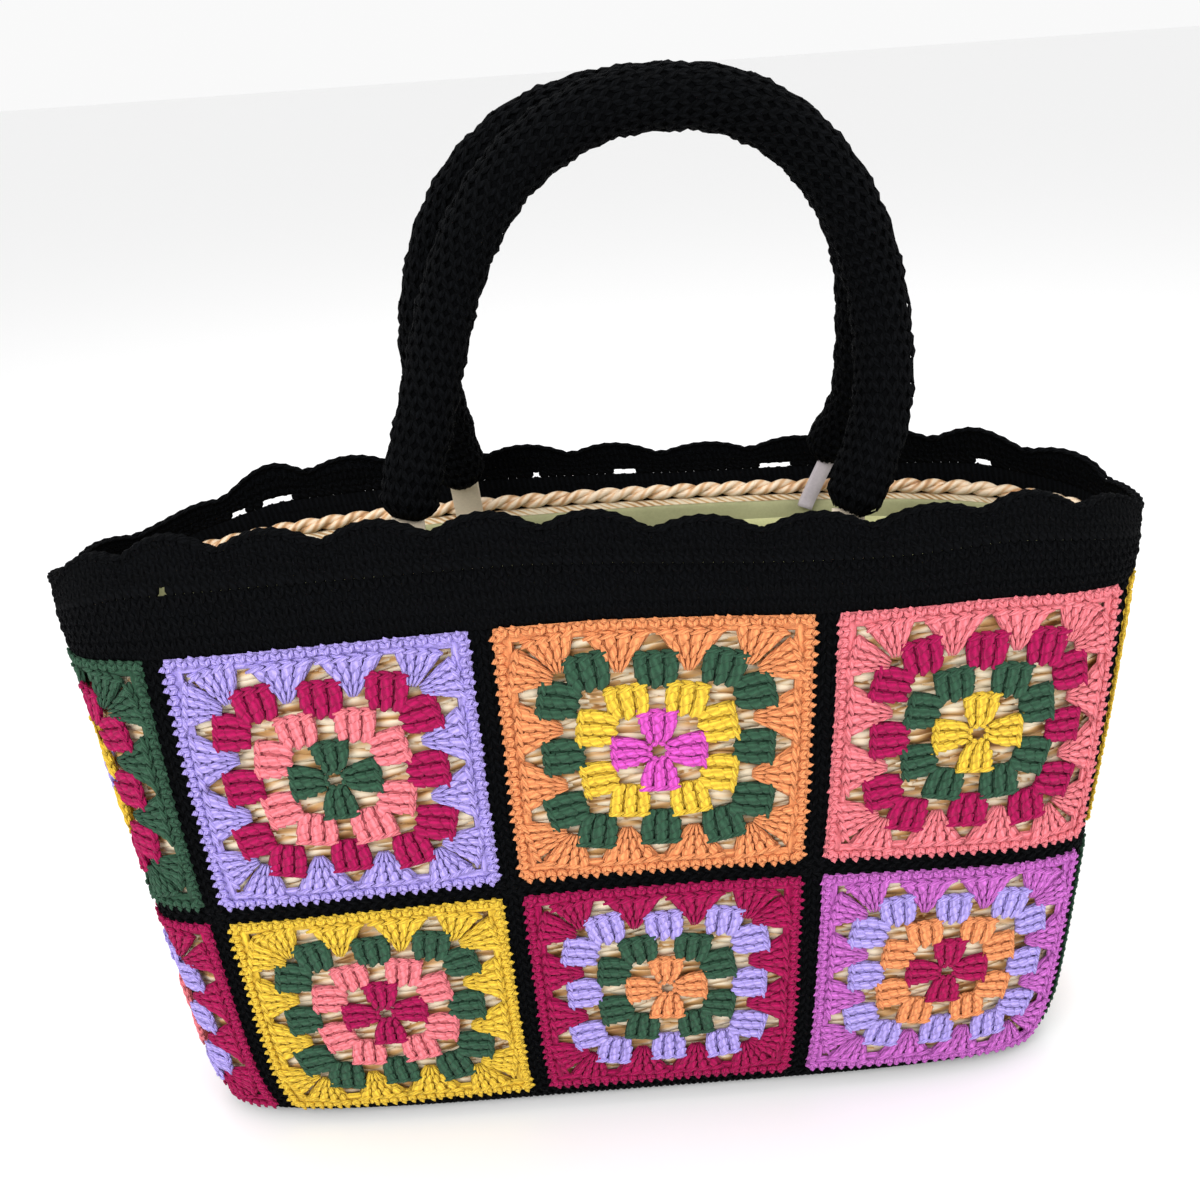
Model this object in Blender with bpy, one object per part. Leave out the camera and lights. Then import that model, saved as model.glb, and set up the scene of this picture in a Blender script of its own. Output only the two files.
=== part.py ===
"""Crochet tote over a straw basket: sixteen granny squares joined in black,
a black band with a scalloped edge, a green cloth lining and two padded
crochet handles. Metres, +Z up, front towards -Y, resting on z = 0."""

import math

import bpy
import numpy as np

for old in list(bpy.data.objects):
    bpy.data.objects.remove(old, do_unlink=True)

# Driving sizes of the bag
HALF_LENGTH = 0.2225
HALF_DEPTH = 0.0640
BASE_RISE = 0.0144
LOWER_SQUARE = 0.1157
UPPER_SQUARE = 0.1179
JOIN_WIDTH = 0.0095
BAND_RISE = 0.0254
EDGE_RISE = 0.0236
BASKET_OVER = 0.0065
LINING_UNDER = 0.0035
POCKET_UNDER = 0.0079
POCKET_DEPTH = 0.090
CROCHET = 0.0030
STRAW = 0.0035
CLOTH = 0.0010
LAYER_GAP = 0.0006
COVER_GAP = 0.0010
PIECE_GAP = 0.0004

# The scalloped edge
SHELLS = 25
SHELL_RISE = 0.0088
SHELL_START = 0.15
SHELL_DRIFT = 0.04
EYELET_RISE = 0.0030

# The rolled edge of the basket, the handles and their webbing ends
ROPE_RADIUS = 0.0033
ROPE_SIDES = 5
TUBE_RADIUS = 0.0113
TUBE_STEPS = 25
HANDLE_SPREAD = 0.1800
HANDLE_SHIFT = 0.0200
HANDLE_RISE = 0.1300
HANDLE_GAP = 0.0013
LEG_GAP = 0.0049
STRAP_WIDTH = 0.0125
STRAP_THICK = 0.0022
STRAP_DROP = 0.050
FOLDED_WIDTH = 0.0065
FOLDED_THICK = 0.0044
FOLDED_DROP = 0.0245

# Row lines of the cover as shares of the height of the bag
BAG_HEIGHT = BASE_RISE + LOWER_SQUARE + JOIN_WIDTH + UPPER_SQUARE + BAND_RISE + EDGE_RISE
RISE = PIECE_GAP / BAG_HEIGHT
HALF_JOIN = JOIN_WIDTH / 2 / BAG_HEIGHT
ROW_LOW = BASE_RISE / BAG_HEIGHT
ROW_MIDDLE = ROW_LOW + LOWER_SQUARE / BAG_HEIGHT + HALF_JOIN
ROW_TOP = ROW_MIDDLE + HALF_JOIN + UPPER_SQUARE / BAG_HEIGHT
BAND_TOP = ROW_TOP + BAND_RISE / BAG_HEIGHT
BASKET_TOP = ROW_TOP + BASKET_OVER / BAG_HEIGHT
LINING_TOP = BASKET_TOP - LINING_UNDER / BAG_HEIGHT
POCKET_TOP = LINING_TOP - POCKET_UNDER / BAG_HEIGHT
HEEL = ROW_LOW * 0.34

# Shape of the wall from the floor up:
# share of height, share of half length, front share and back share of half
# depth, roundness of the outline seen from above
WALL = (
    (0.000, 0.8450, 0.6880, 0.6880, 4.2),
    (0.016, 0.8740, 0.7660, 0.7580, 4.4),
    (0.047, 0.8990, 0.8200, 0.8130, 4.8),
    (0.150, 0.9280, 0.8630, 0.8440, 5.0),
    (0.440, 0.9410, 0.9220, 0.8910, 5.4),
    (0.630, 0.9600, 0.9450, 0.9300, 5.0),
    (0.840, 0.9830, 0.9500, 0.9530, 4.2),
    (0.923, 1.0000, 0.9770, 0.9840, 3.4),
    (1.000, 1.0000, 1.0000, 1.0000, 3.0),
)

# How far the soft wall hangs at its two ends, as a share of the bag height:
# share of height, hang of the ends
HANG = (
    (0.000, 0.000),
    (0.016, 0.009),
    (0.047, 0.026),
    (0.100, 0.031),
    (0.840, 0.031),
    (1.000, 0.000),
)

# Dips round the bag: place in columns from the front middle, dip of the line
# on top of the squares, dip of the scalloped rim, as shares of the bag height
DIPS = (
    (0.00, 0.0000, 0.0114),
    (0.30, 0.0049, 0.0245),
    (0.65, 0.0104, 0.0343),
    (0.90, 0.0082, 0.0375),
    (1.20, 0.0016, 0.0310),
    (1.45, 0.0030, 0.0473),
    (1.73, 0.0030, 0.0832),
    (1.95, 0.0030, 0.1040),
    (2.20, 0.0020, 0.0930),
    (2.45, 0.0000, 0.0767),
    (2.65, 0.0000, 0.0587),
    (3.00, 0.0000, 0.0636),
    (3.60, 0.0000, 0.0653),
    (4.00, 0.0000, 0.0538),
    (4.70, 0.0000, 0.0408),
    (5.10, 0.0000, 0.0408),
    (5.35, 0.0000, 0.0734),
    (5.60, 0.0000, 0.1044),
    (5.85, 0.0000, 0.1060),
    (6.05, 0.0000, 0.0995),
    (6.25, 0.0000, 0.0767),
    (6.40, 0.0000, 0.0440),
    (6.60, 0.0000, 0.0147),
    (7.10, 0.0000, 0.0016),
    (7.70, 0.0000, 0.0000),
    (8.00, 0.0000, 0.0114),
)

# Seams on the front, counted in columns from the front middle:
# name, place at the low, middle and top row lines
SEAMS = (
    ("front left corner", -1.426, -1.406, -1.376),
    ("left of the middle", -0.379, -0.380, -0.374),
    ("right of the middle", 0.643, 0.647, 0.665),
    ("front right corner", 1.694, 1.667, 1.660),
)

# The inner pocket: its column, and its sides as shares of the column's width
POCKET_COLUMN = 4
POCKET_FROM = 0.17
POCKET_TO = 0.98

# Lines across one square as shares of its side, the lines that the upright
# strips share with the lower and upper squares, and the cells left open
GRID = (0.0, 0.10, 0.23, 0.44, 0.56, 0.77, 0.90, 1.0)
LOW_STEPS = (0.0, 0.10, 0.23, 0.44, 0.77)
TOP_STEPS = (0.44, 0.77, 1.0)
OPEN_CELLS = ((1, 1), (5, 1), (3, 3), (1, 5), (5, 5))

# Handle centre lines: share of half the spread from the middle of the handle,
# share of the way from lying side by side out to the edge of the bag, share of
# the handle's rise over the edge
FRONT_HANDLE = (
    (-1.021, 0.873, -0.073),
    (-0.971, 0.721, 0.061),
    (-0.897, 0.515, 0.217),
    (-0.830, 0.287, 0.380),
    (-0.756, 0.119, 0.533),
    (-0.618, 0.047, 0.719),
    (-0.422, 0.000, 0.868),
    (-0.138, 0.000, 0.974),
    (0.141, 0.000, 1.000),
    (0.426, 0.000, 0.974),
    (0.685, 0.000, 0.870),
    (0.878, 0.047, 0.700),
    (0.982, 0.129, 0.509),
    (1.014, 0.371, 0.311),
    (0.992, 0.632, 0.127),
    (0.903, 0.834, -0.050),
    (0.836, 0.922, -0.144),
)
BACK_HANDLE = (
    (-0.858, 0.903, -0.191),
    (-0.892, 0.739, -0.014),
    (-0.917, 0.453, 0.137),
    (-0.927, 0.178, 0.288),
    (-0.892, 0.000, 0.450),
    (-0.808, 0.000, 0.639),
    (-0.662, 0.000, 0.799),
    (-0.430, 0.000, 0.927),
    (-0.146, 0.000, 0.988),
    (0.141, 0.000, 1.002),
    (0.426, 0.000, 0.978),
    (0.685, 0.000, 0.884),
    (0.893, 0.000, 0.717),
    (1.006, 0.000, 0.521),
    (1.053, 0.273, 0.264),
    (1.058, 0.642, 0.019),
    (0.977, 0.951, -0.141),
    (0.959, 1.000, -0.207),
)

# Yarn of each square: name, column, row, colour of its outer round
SQUARES = (
    ("square_front_left_top", 0, 1, "lavender"),
    ("square_front_left_low", 0, 0, "yellow"),
    ("square_front_middle_top", 1, 1, "orange"),
    ("square_front_middle_low", 1, 0, "raspberry"),
    ("square_front_right_top", 2, 1, "salmon"),
    ("square_front_right_low", 2, 0, "orchid"),
    ("square_right_end_top", 3, 1, "yellow"),
    ("square_right_end_low", 3, 0, "green"),
    ("square_back_right_top", 4, 1, "lavender"),
    ("square_back_right_low", 4, 0, "salmon"),
    ("square_back_middle_top", 5, 1, "raspberry"),
    ("square_back_middle_low", 5, 0, "orange"),
    ("square_back_left_top", 6, 1, "orchid"),
    ("square_back_left_low", 6, 0, "yellow"),
    ("square_left_end_top", 7, 1, "green"),
    ("square_left_end_low", 7, 0, "raspberry"),
)
COLUMNS = 1 + max(column for _, column, _, _ in SQUARES)
COLOURS = {
    "lavender": (0.34, 0.29, 0.70),
    "yellow": (0.72, 0.46, 0.03),
    "orange": (0.83, 0.27, 0.07),
    "raspberry": (0.38, 0.01, 0.06),
    "salmon": (0.82, 0.20, 0.17),
    "orchid": (0.62, 0.10, 0.42),
    "green": (0.04, 0.10, 0.05),
    "black": (0.006, 0.007, 0.010),
    "straw": (0.48, 0.31, 0.15),
    "straw edge": (0.60, 0.40, 0.25),
    "sage": (0.30, 0.31, 0.15),
    "pale green": (0.50, 0.50, 0.24),
    "cream": (0.62, 0.55, 0.44),
    "lavender grey": (0.50, 0.44, 0.50),
}

bag = bpy.data.collections.new("crochet_bag")
bpy.context.scene.collection.children.link(bag)


def material(colour, rough=0.9):
    made = bpy.data.materials.get(colour)
    if made is None:
        made = bpy.data.materials.new(colour)
        made.use_nodes = True
        shader = made.node_tree.nodes["Principled BSDF"]
        shader.inputs["Base Color"].default_value = (*COLOURS[colour], 1.0)
        shader.inputs["Roughness"].default_value = rough
        made.diffuse_color = (*COLOURS[colour], 1.0)
    return made


def eased(one, two):
    """A slope between two slopes that never runs past either."""
    both = np.where(one * two > 0, one + two, 1.0)
    return np.where(one * two > 0, 2 * one * two / both, 0.0)


def smooth_row(table, at):
    """A row of the table at a share between its rows, on a smooth curve."""
    rows = np.array(table, dtype=float)
    keys = rows[:, 0]
    at = min(max(at, keys[0]), keys[-1])
    i = min(max(int(np.searchsorted(keys, at, side="right")) - 1, 0), len(keys) - 2)
    span = keys[i + 1] - keys[i]
    t = (at - keys[i]) / span
    step = (rows[i + 1] - rows[i]) / span
    before = (rows[i] - rows[i - 1]) / (keys[i] - keys[i - 1]) if i > 0 else step
    after = (rows[i + 2] - rows[i + 1]) / (keys[i + 2] - keys[i + 1]) if i + 2 < len(keys) else step
    low = eased(before, step)
    high = eased(step, after)
    t2 = t * t
    t3 = t2 * t
    return (
        (2 * t3 - 3 * t2 + 1) * rows[i]
        + (t3 - 2 * t2 + t) * span * low
        + (3 * t2 - 2 * t3) * rows[i + 1]
        + (t3 - t2) * span * high
    )


outlines = {}


def outline(level):
    """The bag seen from above at one level: places round it and their points."""
    key = round(level, 6)
    if key not in outlines:
        _, length, front, back, roundness = smooth_row(WALL, level)
        turn = np.linspace(-1.5 * math.pi, 0.5 * math.pi, 1441)
        c = np.cos(turn)
        s = np.sin(turn)
        depth = np.where(s < 0, front, back) * HALF_DEPTH
        x = HALF_LENGTH * length * np.sign(c) * np.abs(c) ** (2 / roundness)
        y = depth * np.sign(s) * np.abs(s) ** (2 / roundness)
        run = np.concatenate(([0.0], np.cumsum(np.hypot(np.diff(x), np.diff(y)))))
        middle = np.interp(-0.5 * math.pi, turn, run)
        outlines[key] = (run - middle, x, y, run[-1], HALF_LENGTH * length)
    return outlines[key]


def surface(place, level):
    """The outer face of the cover at a share of the way round and of the height."""
    run, x, y, around, half = outline(level)
    at = (place * around - run[0]) % around + run[0]
    px = float(np.interp(at, run, x))
    py = float(np.interp(at, run, y))
    ends = smooth_row(HANG, level)[1]
    _, line_dip, rim_dip = smooth_row(DIPS, (place % 1.0) * COLUMNS)
    out = abs(px) / half
    to_line = min(max((level - ROW_MIDDLE) / (ROW_TOP - ROW_MIDDLE), 0.0), 1.0)
    to_rim = min(max((level - ROW_TOP) / (1.0 - ROW_TOP), 0.0), 1.0)
    hang = ends * out**2 + line_dip * to_line * (1.0 - to_rim) + rim_dip * to_rim
    return np.array((px, py, BAG_HEIGHT * (level - hang)))


def outward(place, level):
    if level <= 0.0:
        ahead = surface(place + 0.002, 0.0) - surface(place - 0.002, 0.0)
        side = np.array((ahead[1], -ahead[0], 0.0))
        side /= np.linalg.norm(side)
        return np.array((side[0] * 0.6, side[1] * 0.6, -1.0))
    ahead = surface(place + 0.003, level) - surface(place - 0.003, level)
    up = surface(place, min(level + 0.01, 1.0)) - surface(place, max(level - 0.01, 0.0))
    normal = np.cross(ahead, up)
    return normal / np.linalg.norm(normal)


def layer(place, level, depth):
    """A point this deep under the outer face of the cover."""
    return surface(place, level) - outward(place, level) * depth


def seam(number, level):
    """Where a seam stands, as a share of the way round."""
    rows = (ROW_LOW, ROW_MIDDLE, ROW_TOP)
    fronts = [float(np.interp(level, rows, row[1:])) for row in SEAMS]
    if number < len(fronts):
        return fronts[number] / COLUMNS
    rest = COLUMNS - len(fronts) + 1
    first, last = fronts[-1], fronts[0] + COLUMNS
    return (first + (last - first) * (number - len(fronts) + 1) / rest) / COLUMNS


def across(column, share, level):
    """A share of the way over one column of squares."""
    left = seam(column, level)
    right = seam(column + 1, level) if column + 1 < COLUMNS else seam(0, level) + 1.0
    return left + (right - left) * share


COLUMN_WIDTH = outline(ROW_MIDDLE)[3] / COLUMNS
EDGE = JOIN_WIDTH / 2 / COLUMN_WIDTH
HAIR = PIECE_GAP / COLUMN_WIDTH
LINES = [EDGE + (1 - 2 * EDGE) * g for g in GRID]


def solid(name, points, faces, colour, smooth=True):
    mesh = bpy.data.meshes.new(name)
    mesh.from_pydata([tuple(map(float, p)) for p in points], [], faces)
    mesh.update()
    made = bpy.data.objects.new(name, mesh)
    bag.objects.link(made)
    mesh.materials.append(material(colour))
    for face in mesh.polygons:
        face.use_smooth = smooth
    return made


def slab(name, spots, cells, outer, inner, colour, point=layer):
    """Cells on the wall made into a closed piece between two depths."""
    n = len(spots)
    points = [point(p, l, outer) for p, l in spots]
    points += [point(p, l, inner) for p, l in spots]
    faces = [tuple(c) for c in cells]
    faces += [tuple(i + n for i in reversed(c)) for c in cells]
    edges = {}
    for c in cells:
        for a, b in zip(c, c[1:] + c[:1]):
            edges[(a, b)] = True
    for a, b in edges:
        if (b, a) not in edges:
            faces.append((b, a, a + n, b + n))
    used = sorted({i for f in faces for i in f})
    index = {old: new for new, old in enumerate(used)}
    return solid(name, [points[i] for i in used], [tuple(index[i] for i in f) for f in faces], colour)


def ring_places(level, skip=1):
    """Places round the bag on the lines that all the layers share."""
    return [across(k, f, level) for k in range(COLUMNS) for f in LINES[::skip]]


def bowl(name, levels_out, levels_in, outer, inner, colour, skip=1):
    """A round-ended bowl: outer rings from the rim to the floor, inner rings back."""
    points = []
    for level in levels_out:
        points += [layer(p, level, outer) for p in ring_places(level, skip)]
    for level in levels_in:
        points += [layer(p, level, inner) for p in ring_places(level, skip)]
    n = COLUMNS * len(LINES[::skip])
    faces = []
    rings = len(levels_out) + len(levels_in)
    low = len(levels_out) - 1
    for r in range(rings - 1):
        if r == low:
            continue
        for i in range(n):
            j = (i + 1) % n
            faces.append((r * n + i, (r + 1) * n + i, (r + 1) * n + j, r * n + j))
    for i in range(n):
        j = (i + 1) % n
        last = (rings - 1) * n
        faces.append((j, last + j, last + i, i))
    under = len(points)
    points.append((0.0, 0.0, float(points[low * n][2])))
    inside = under + 1
    points.append((0.0, 0.0, float(points[(low + 1) * n][2])))
    for i in range(n):
        j = (i + 1) % n
        faces.append((low * n + j, low * n + i, under))
        faces.append(((low + 1) * n + i, (low + 1) * n + j, inside))
    return solid(name, points, faces, colour)


def square(name, column, row, colour):
    low = ROW_LOW if row == 0 else ROW_MIDDLE + HALF_JOIN
    top = ROW_MIDDLE - HALF_JOIN if row == 0 else ROW_TOP
    spots = []
    for v in GRID:
        level = low + (top - low) * v
        spots += [(across(column, f, level), level) for f in LINES]
    w = len(GRID)
    cells = [
        [j * w + i, j * w + i + 1, (j + 1) * w + i + 1, (j + 1) * w + i]
        for j in range(w - 1)
        for i in range(w - 1)
        if (i, j) not in OPEN_CELLS
    ]
    return slab(name, spots, cells, 0.0, CROCHET, colour)


def joins(name, colour):
    """The black strips between the squares, one net round the bag."""
    under = ROW_MIDDLE - HALF_JOIN
    over = ROW_MIDDLE + HALF_JOIN
    lower = [ROW_LOW + (under - ROW_LOW) * g for g in LOW_STEPS]
    upper = [over + (ROW_TOP - over) * g for g in TOP_STEPS]
    rows = lower + [under + RISE, over - RISE] + upper
    crossing = len(lower)
    spots = []
    index = {}
    cells = []

    def spot(column, side, f, level):
        key = (column % COLUMNS, side, f, level)
        if key not in index:
            index[key] = len(spots)
            spots.append((across(column % COLUMNS, f, level), level))
        return index[key]

    reach = EDGE - HAIR
    for k in range(COLUMNS):
        for a, b in zip(rows, rows[1:]):
            cells.append([spot(k, "l", -reach, a), spot(k, "r", reach, a), spot(k, "r", reach, b), spot(k, "l", -reach, b)])
        a, b = rows[crossing], rows[crossing + 1]
        marks = [("r", reach)] + [("m", f) for f in LINES[1:-1]]
        for (s0, f0), (s1, f1) in zip(marks, marks[1:]):
            cells.append([spot(k, s0, f0, a), spot(k, s1, f1, a), spot(k, s1, f1, b), spot(k, s0, f0, b)])
        s0, f0 = marks[-1]
        cells.append([spot(k, s0, f0, a), spot(k + 1, "l", -reach, a), spot(k + 1, "l", -reach, b), spot(k, s0, f0, b)])
    return slab(name, spots, cells, 0.0, CROCHET, colour)


def band(name, levels, outer, inner, colour):
    spots = []
    for level in levels:
        spots += [(p, level) for p in ring_places(level)]
    n = COLUMNS * len(LINES)
    cells = [
        [r * n + i, r * n + (i + 1) % n, (r + 1) * n + (i + 1) % n, (r + 1) * n + i]
        for r in range(len(levels) - 1)
        for i in range(n)
    ]
    return slab(name, spots, cells, outer, inner, colour)


def shell_edge(name, colour):
    """Scallops standing on posts, with an eyelet under each."""
    foot = BAND_TOP + RISE
    sill = foot + EYELET_RISE / BAG_HEIGHT
    rise = SHELL_RISE / BAG_HEIGHT
    steps = ((0.0, 0.0), (0.17, 0.35), (0.37, 0.94), (0.63, 0.94), (0.83, 0.35))
    spots = []
    cells = []
    n = SHELLS * len(steps)
    for level_of in (lambda h: foot, lambda h: sill, lambda h: 1.0 - rise * (1 - h)):
        for k in range(SHELLS):
            for t, h in steps:
                at = (k + t) / SHELLS
                drift = SHELL_DRIFT * (1 - math.cos(2 * math.pi * at))
                spots.append((at + (SHELL_START + drift) / COLUMNS, level_of(h)))
    for i in range(n):
        j = (i + 1) % n
        if i % len(steps) in (0, len(steps) - 1):
            cells.append([i, j, n + j, n + i])
        cells.append([n + i, n + j, 2 * n + j, 2 * n + i])
    ring = ring_places(BAND_TOP)
    ring.append(ring[0] + 1.0)

    def standing(place, level, depth):
        """Feet stand on the straight edges of the band."""
        if level > foot:
            return layer(place, level, depth)
        place = (place - ring[0]) % 1.0 + ring[0]
        i = max(k for k in range(len(ring) - 1) if ring[k] <= place)
        t = (place - ring[i]) / (ring[i + 1] - ring[i])
        return layer(ring[i], foot, depth) * (1 - t) + layer(ring[i + 1], foot, depth) * t

    return slab(name, spots, cells, 0.0, CROCHET, colour, standing)


def rope(name, colour):
    """The rolled edge on top of the straw wall."""
    places = ring_places(BASKET_TOP)
    points = []
    for p in places:
        middle = layer(p, BASKET_TOP, ROPE_DEPTH)
        top = max(layer(p, BASKET_TOP, depth)[2] for depth in (basket_out, basket_in))
        middle[2] = top + ROPE_RADIUS + PIECE_GAP
        out = outward(p, BASKET_TOP)
        out[2] = 0.0
        out /= np.linalg.norm(out)
        for s in range(ROPE_SIDES):
            a = 2 * math.pi * (s + 0.5) / ROPE_SIDES
            points.append(middle + ROPE_RADIUS * (math.cos(a) * out + math.sin(a) * np.array((0, 0, 1.0))))
    n = len(places)
    faces = []
    for i in range(n):
        j = (i + 1) % n
        for s in range(ROPE_SIDES):
            t = (s + 1) % ROPE_SIDES
            faces.append((i * ROPE_SIDES + s, j * ROPE_SIDES + s, j * ROPE_SIDES + t, i * ROPE_SIDES + t))
    return solid(name, points, faces, colour)


def centre_line(table, way, count):
    """Evenly spaced points on a smooth curve through the rows of a handle table."""
    together = TUBE_RADIUS + HANDLE_GAP / 2
    apart = HALF_DEPTH - CROCHET - LEG_GAP - TUBE_RADIUS
    across_bag, lean, up = np.array(table).T
    x = HANDLE_SHIFT + across_bag * HANDLE_SPREAD / 2
    y = way * (together + lean * (apart - together))
    z = BAG_HEIGHT + up * HANDLE_RISE
    knots = np.stack((x, y, z), 1)
    fine = []
    for i in range(len(knots) - 1):
        p0, p1, p2, p3 = (knots[max(i - 1, 0)], knots[i], knots[i + 1], knots[min(i + 2, len(knots) - 1)])
        for t in np.linspace(0, 1, 12, endpoint=False):
            fine.append(0.5 * (2 * p1 + (p2 - p0) * t + (2 * p0 - 5 * p1 + 4 * p2 - p3) * t**2 + (3 * p1 - p0 - 3 * p2 + p3) * t**3))
    fine.append(knots[-1])
    fine = np.array(fine)
    run = np.concatenate(([0.0], np.cumsum(np.linalg.norm(np.diff(fine, axis=0), axis=1))))
    even = np.linspace(0, run[-1], count)
    return np.stack([np.interp(even, run, fine[:, a]) for a in range(3)], 1)


def tube(name, line, radius, colour):
    curve = bpy.data.curves.new(name, "CURVE")
    curve.dimensions = "3D"
    curve.bevel_depth = radius
    curve.bevel_resolution = 3
    curve.use_fill_caps = True
    path = curve.splines.new("POLY")
    path.points.add(len(line) - 1)
    for point, at in zip(path.points, line):
        point.co = (*map(float, at), 1.0)
    drawn = bpy.data.objects.new(name + "_curve", curve)
    bag.objects.link(drawn)
    bpy.context.view_layer.update()
    mesh = bpy.data.meshes.new_from_object(drawn.evaluated_get(bpy.context.evaluated_depsgraph_get()))
    mesh.name = name
    bpy.data.objects.remove(drawn, do_unlink=True)
    made = bpy.data.objects.new(name, mesh)
    bag.objects.link(made)
    bpy.context.view_layer.objects.active = made
    mesh.materials.clear()
    mesh.materials.append(material(colour))
    for face in mesh.polygons:
        face.use_smooth = len(face.vertices) == 4
    return made


def strap(name, line, lean, wide, thick, drop, colour):
    """A flat webbing end from under a handle, past the rolled edge, down the lining."""
    end = line[0]
    way = line[0] - line[1]
    way /= np.linalg.norm(way)
    side = np.array((1.0, 0.0, 0.0)) - way[0] * way
    side /= np.linalg.norm(side)
    flat = np.cross(way, side)
    if flat[1] < 0:
        flat = -flat
    top = end + way * PIECE_GAP
    around = outline(BASKET_TOP)[3]
    place = top[0] / around if top[1] < 0 else 0.5 - top[0] / around
    by_rope = layer(place, BASKET_TOP, ROPE_DEPTH + ROPE_RADIUS + PIECE_GAP + thick / 2)
    by_lining = layer(place, LINING_TOP, lining_in + LAYER_GAP + PIECE_GAP + thick / 2)
    share = (top[2] - surface(place, BASKET_TOP)[2]) / drop
    x = np.array((1.0, 0.0, 0.0))
    y = np.array((0.0, 1.0, 0.0))
    bend = np.array((top[0] + lean * share, by_rope[1], top[2] - drop * share))
    foot = np.array((top[0] + lean, by_lining[1], top[2] - drop))
    points = []
    for at, u, v in ((top, side, flat), (bend, x, y), (foot, x, y)):
        for a, b in ((-1, -1), (1, -1), (1, 1), (-1, 1)):
            points.append(at + u * (a * wide / 2) + v * (b * thick / 2))
    faces = [(0, 1, 2, 3), (11, 10, 9, 8)]
    for r in range(2):
        for s in range(4):
            t = (s + 1) % 4
            faces.append((r * 4 + s, (r + 1) * 4 + s, (r + 1) * 4 + t, r * 4 + t))
    return solid(name, points, faces, colour, smooth=False)


def pocket(name, colour):
    """A patch of cloth sewn on the inside of the back wall, lying on the lining's faces."""
    lines = LINES[::2] + [1 + LINES[0]]
    shares = [POCKET_FROM] + [f for f in lines if POCKET_FROM < f < POCKET_TO] + [POCKET_TO]
    levels = (POCKET_TOP - POCKET_DEPTH / BAG_HEIGHT, POCKET_TOP)

    def on_lining(share, level, depth):
        i = max(k for k, f in enumerate(lines[:-1]) if f <= share or k == 0)
        t = (share - lines[i]) / (lines[i + 1] - lines[i])
        u = (level - ROW_MIDDLE) / (LINING_TOP - ROW_MIDDLE)
        rows = []
        for row in (ROW_MIDDLE, LINING_TOP):
            left = layer(across(POCKET_COLUMN, lines[i], row), row, depth)
            right = layer(across(POCKET_COLUMN, lines[i + 1], row), row, depth)
            rows.append(left + (right - left) * t)
        return rows[0] + (rows[1] - rows[0]) * u

    over = lining_in + LAYER_GAP
    points = [on_lining(f, level, depth) for depth in (over, over + CLOTH) for level in levels for f in shares]
    w = len(shares)
    n = 2 * w
    faces = []
    for i in range(w - 1):
        faces.append((i, i + 1, w + i + 1, w + i))
        faces.append((n + w + i, n + w + i + 1, n + i + 1, n + i))
        faces.append((i + 1, i, n + i, n + i + 1))
        faces.append((w + i, w + i + 1, n + w + i + 1, n + w + i))
    faces.append((0, w, n + w, n))
    faces.append((2 * w - 1, w - 1, n + w - 1, n + 2 * w - 1))
    return solid(name, points, faces, colour)


basket_out = CROCHET + COVER_GAP
basket_in = basket_out + STRAW
lining_out = basket_in + LAYER_GAP
lining_in = lining_out + CLOTH
ROPE_DEPTH = CROCHET + PIECE_GAP + ROPE_RADIUS
belly = ROW_LOW + (ROW_MIDDLE - HALF_JOIN - ROW_LOW) * GRID[3]
band_middle = ROW_TOP + (BAND_TOP - ROW_TOP) * 0.64

bowl(
    "straw_basket",
    (BASKET_TOP, ROW_TOP, ROW_MIDDLE, belly, ROW_LOW, HEEL, 0.0),
    (0.0, HEEL, ROW_LOW, ROW_MIDDLE, BASKET_TOP),
    basket_out,
    basket_in,
    "straw",
)
rope("straw_rim", "straw edge")
bowl(
    "lining",
    (LINING_TOP, ROW_MIDDLE, ROW_LOW, 0.0),
    (0.0, ROW_LOW, ROW_MIDDLE, LINING_TOP),
    lining_out,
    lining_in,
    "sage",
    skip=2,
)
bowl(
    "base_panel",
    (ROW_LOW - RISE, HEEL, 0.0),
    (0.0, HEEL, ROW_LOW - RISE),
    0.0,
    CROCHET,
    "black",
)
for name, column, row, colour in SQUARES:
    square(name, column, row, colour)
joins("black_joins", "black")
band("top_band", (ROW_TOP + RISE, band_middle, BAND_TOP), 0.0, CROCHET, "black")
shell_edge("shell_edge", "black")

front_line = centre_line(FRONT_HANDLE, -1, TUBE_STEPS)
back_line = centre_line(BACK_HANDLE, 1, TUBE_STEPS)
tube("handle_front", front_line, TUBE_RADIUS, "black")
tube("handle_back", back_line, TUBE_RADIUS, "black")

# Webbing ends: name, handle line from this end, how far the foot stands aside
ENDS = (
    ("strap_front_left", front_line, 0.001),
    ("strap_front_right", front_line[::-1], -0.002),
    ("strap_back_left", back_line, 0.001),
)
for name, line, aside in ENDS:
    strap(name, line, aside, STRAP_WIDTH, STRAP_THICK, STRAP_DROP, "cream")
strap("strap_back_right", back_line[::-1], -0.010, FOLDED_WIDTH, FOLDED_THICK, FOLDED_DROP, "lavender grey")

pocket("inner_pocket", "pale green")
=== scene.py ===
"""Dresses the crochet bag: yarn stitches, straw, cloth and handles on the fixed frame."""

import math

import bpy
import numpy as np
from mathutils import Matrix, Vector


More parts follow.
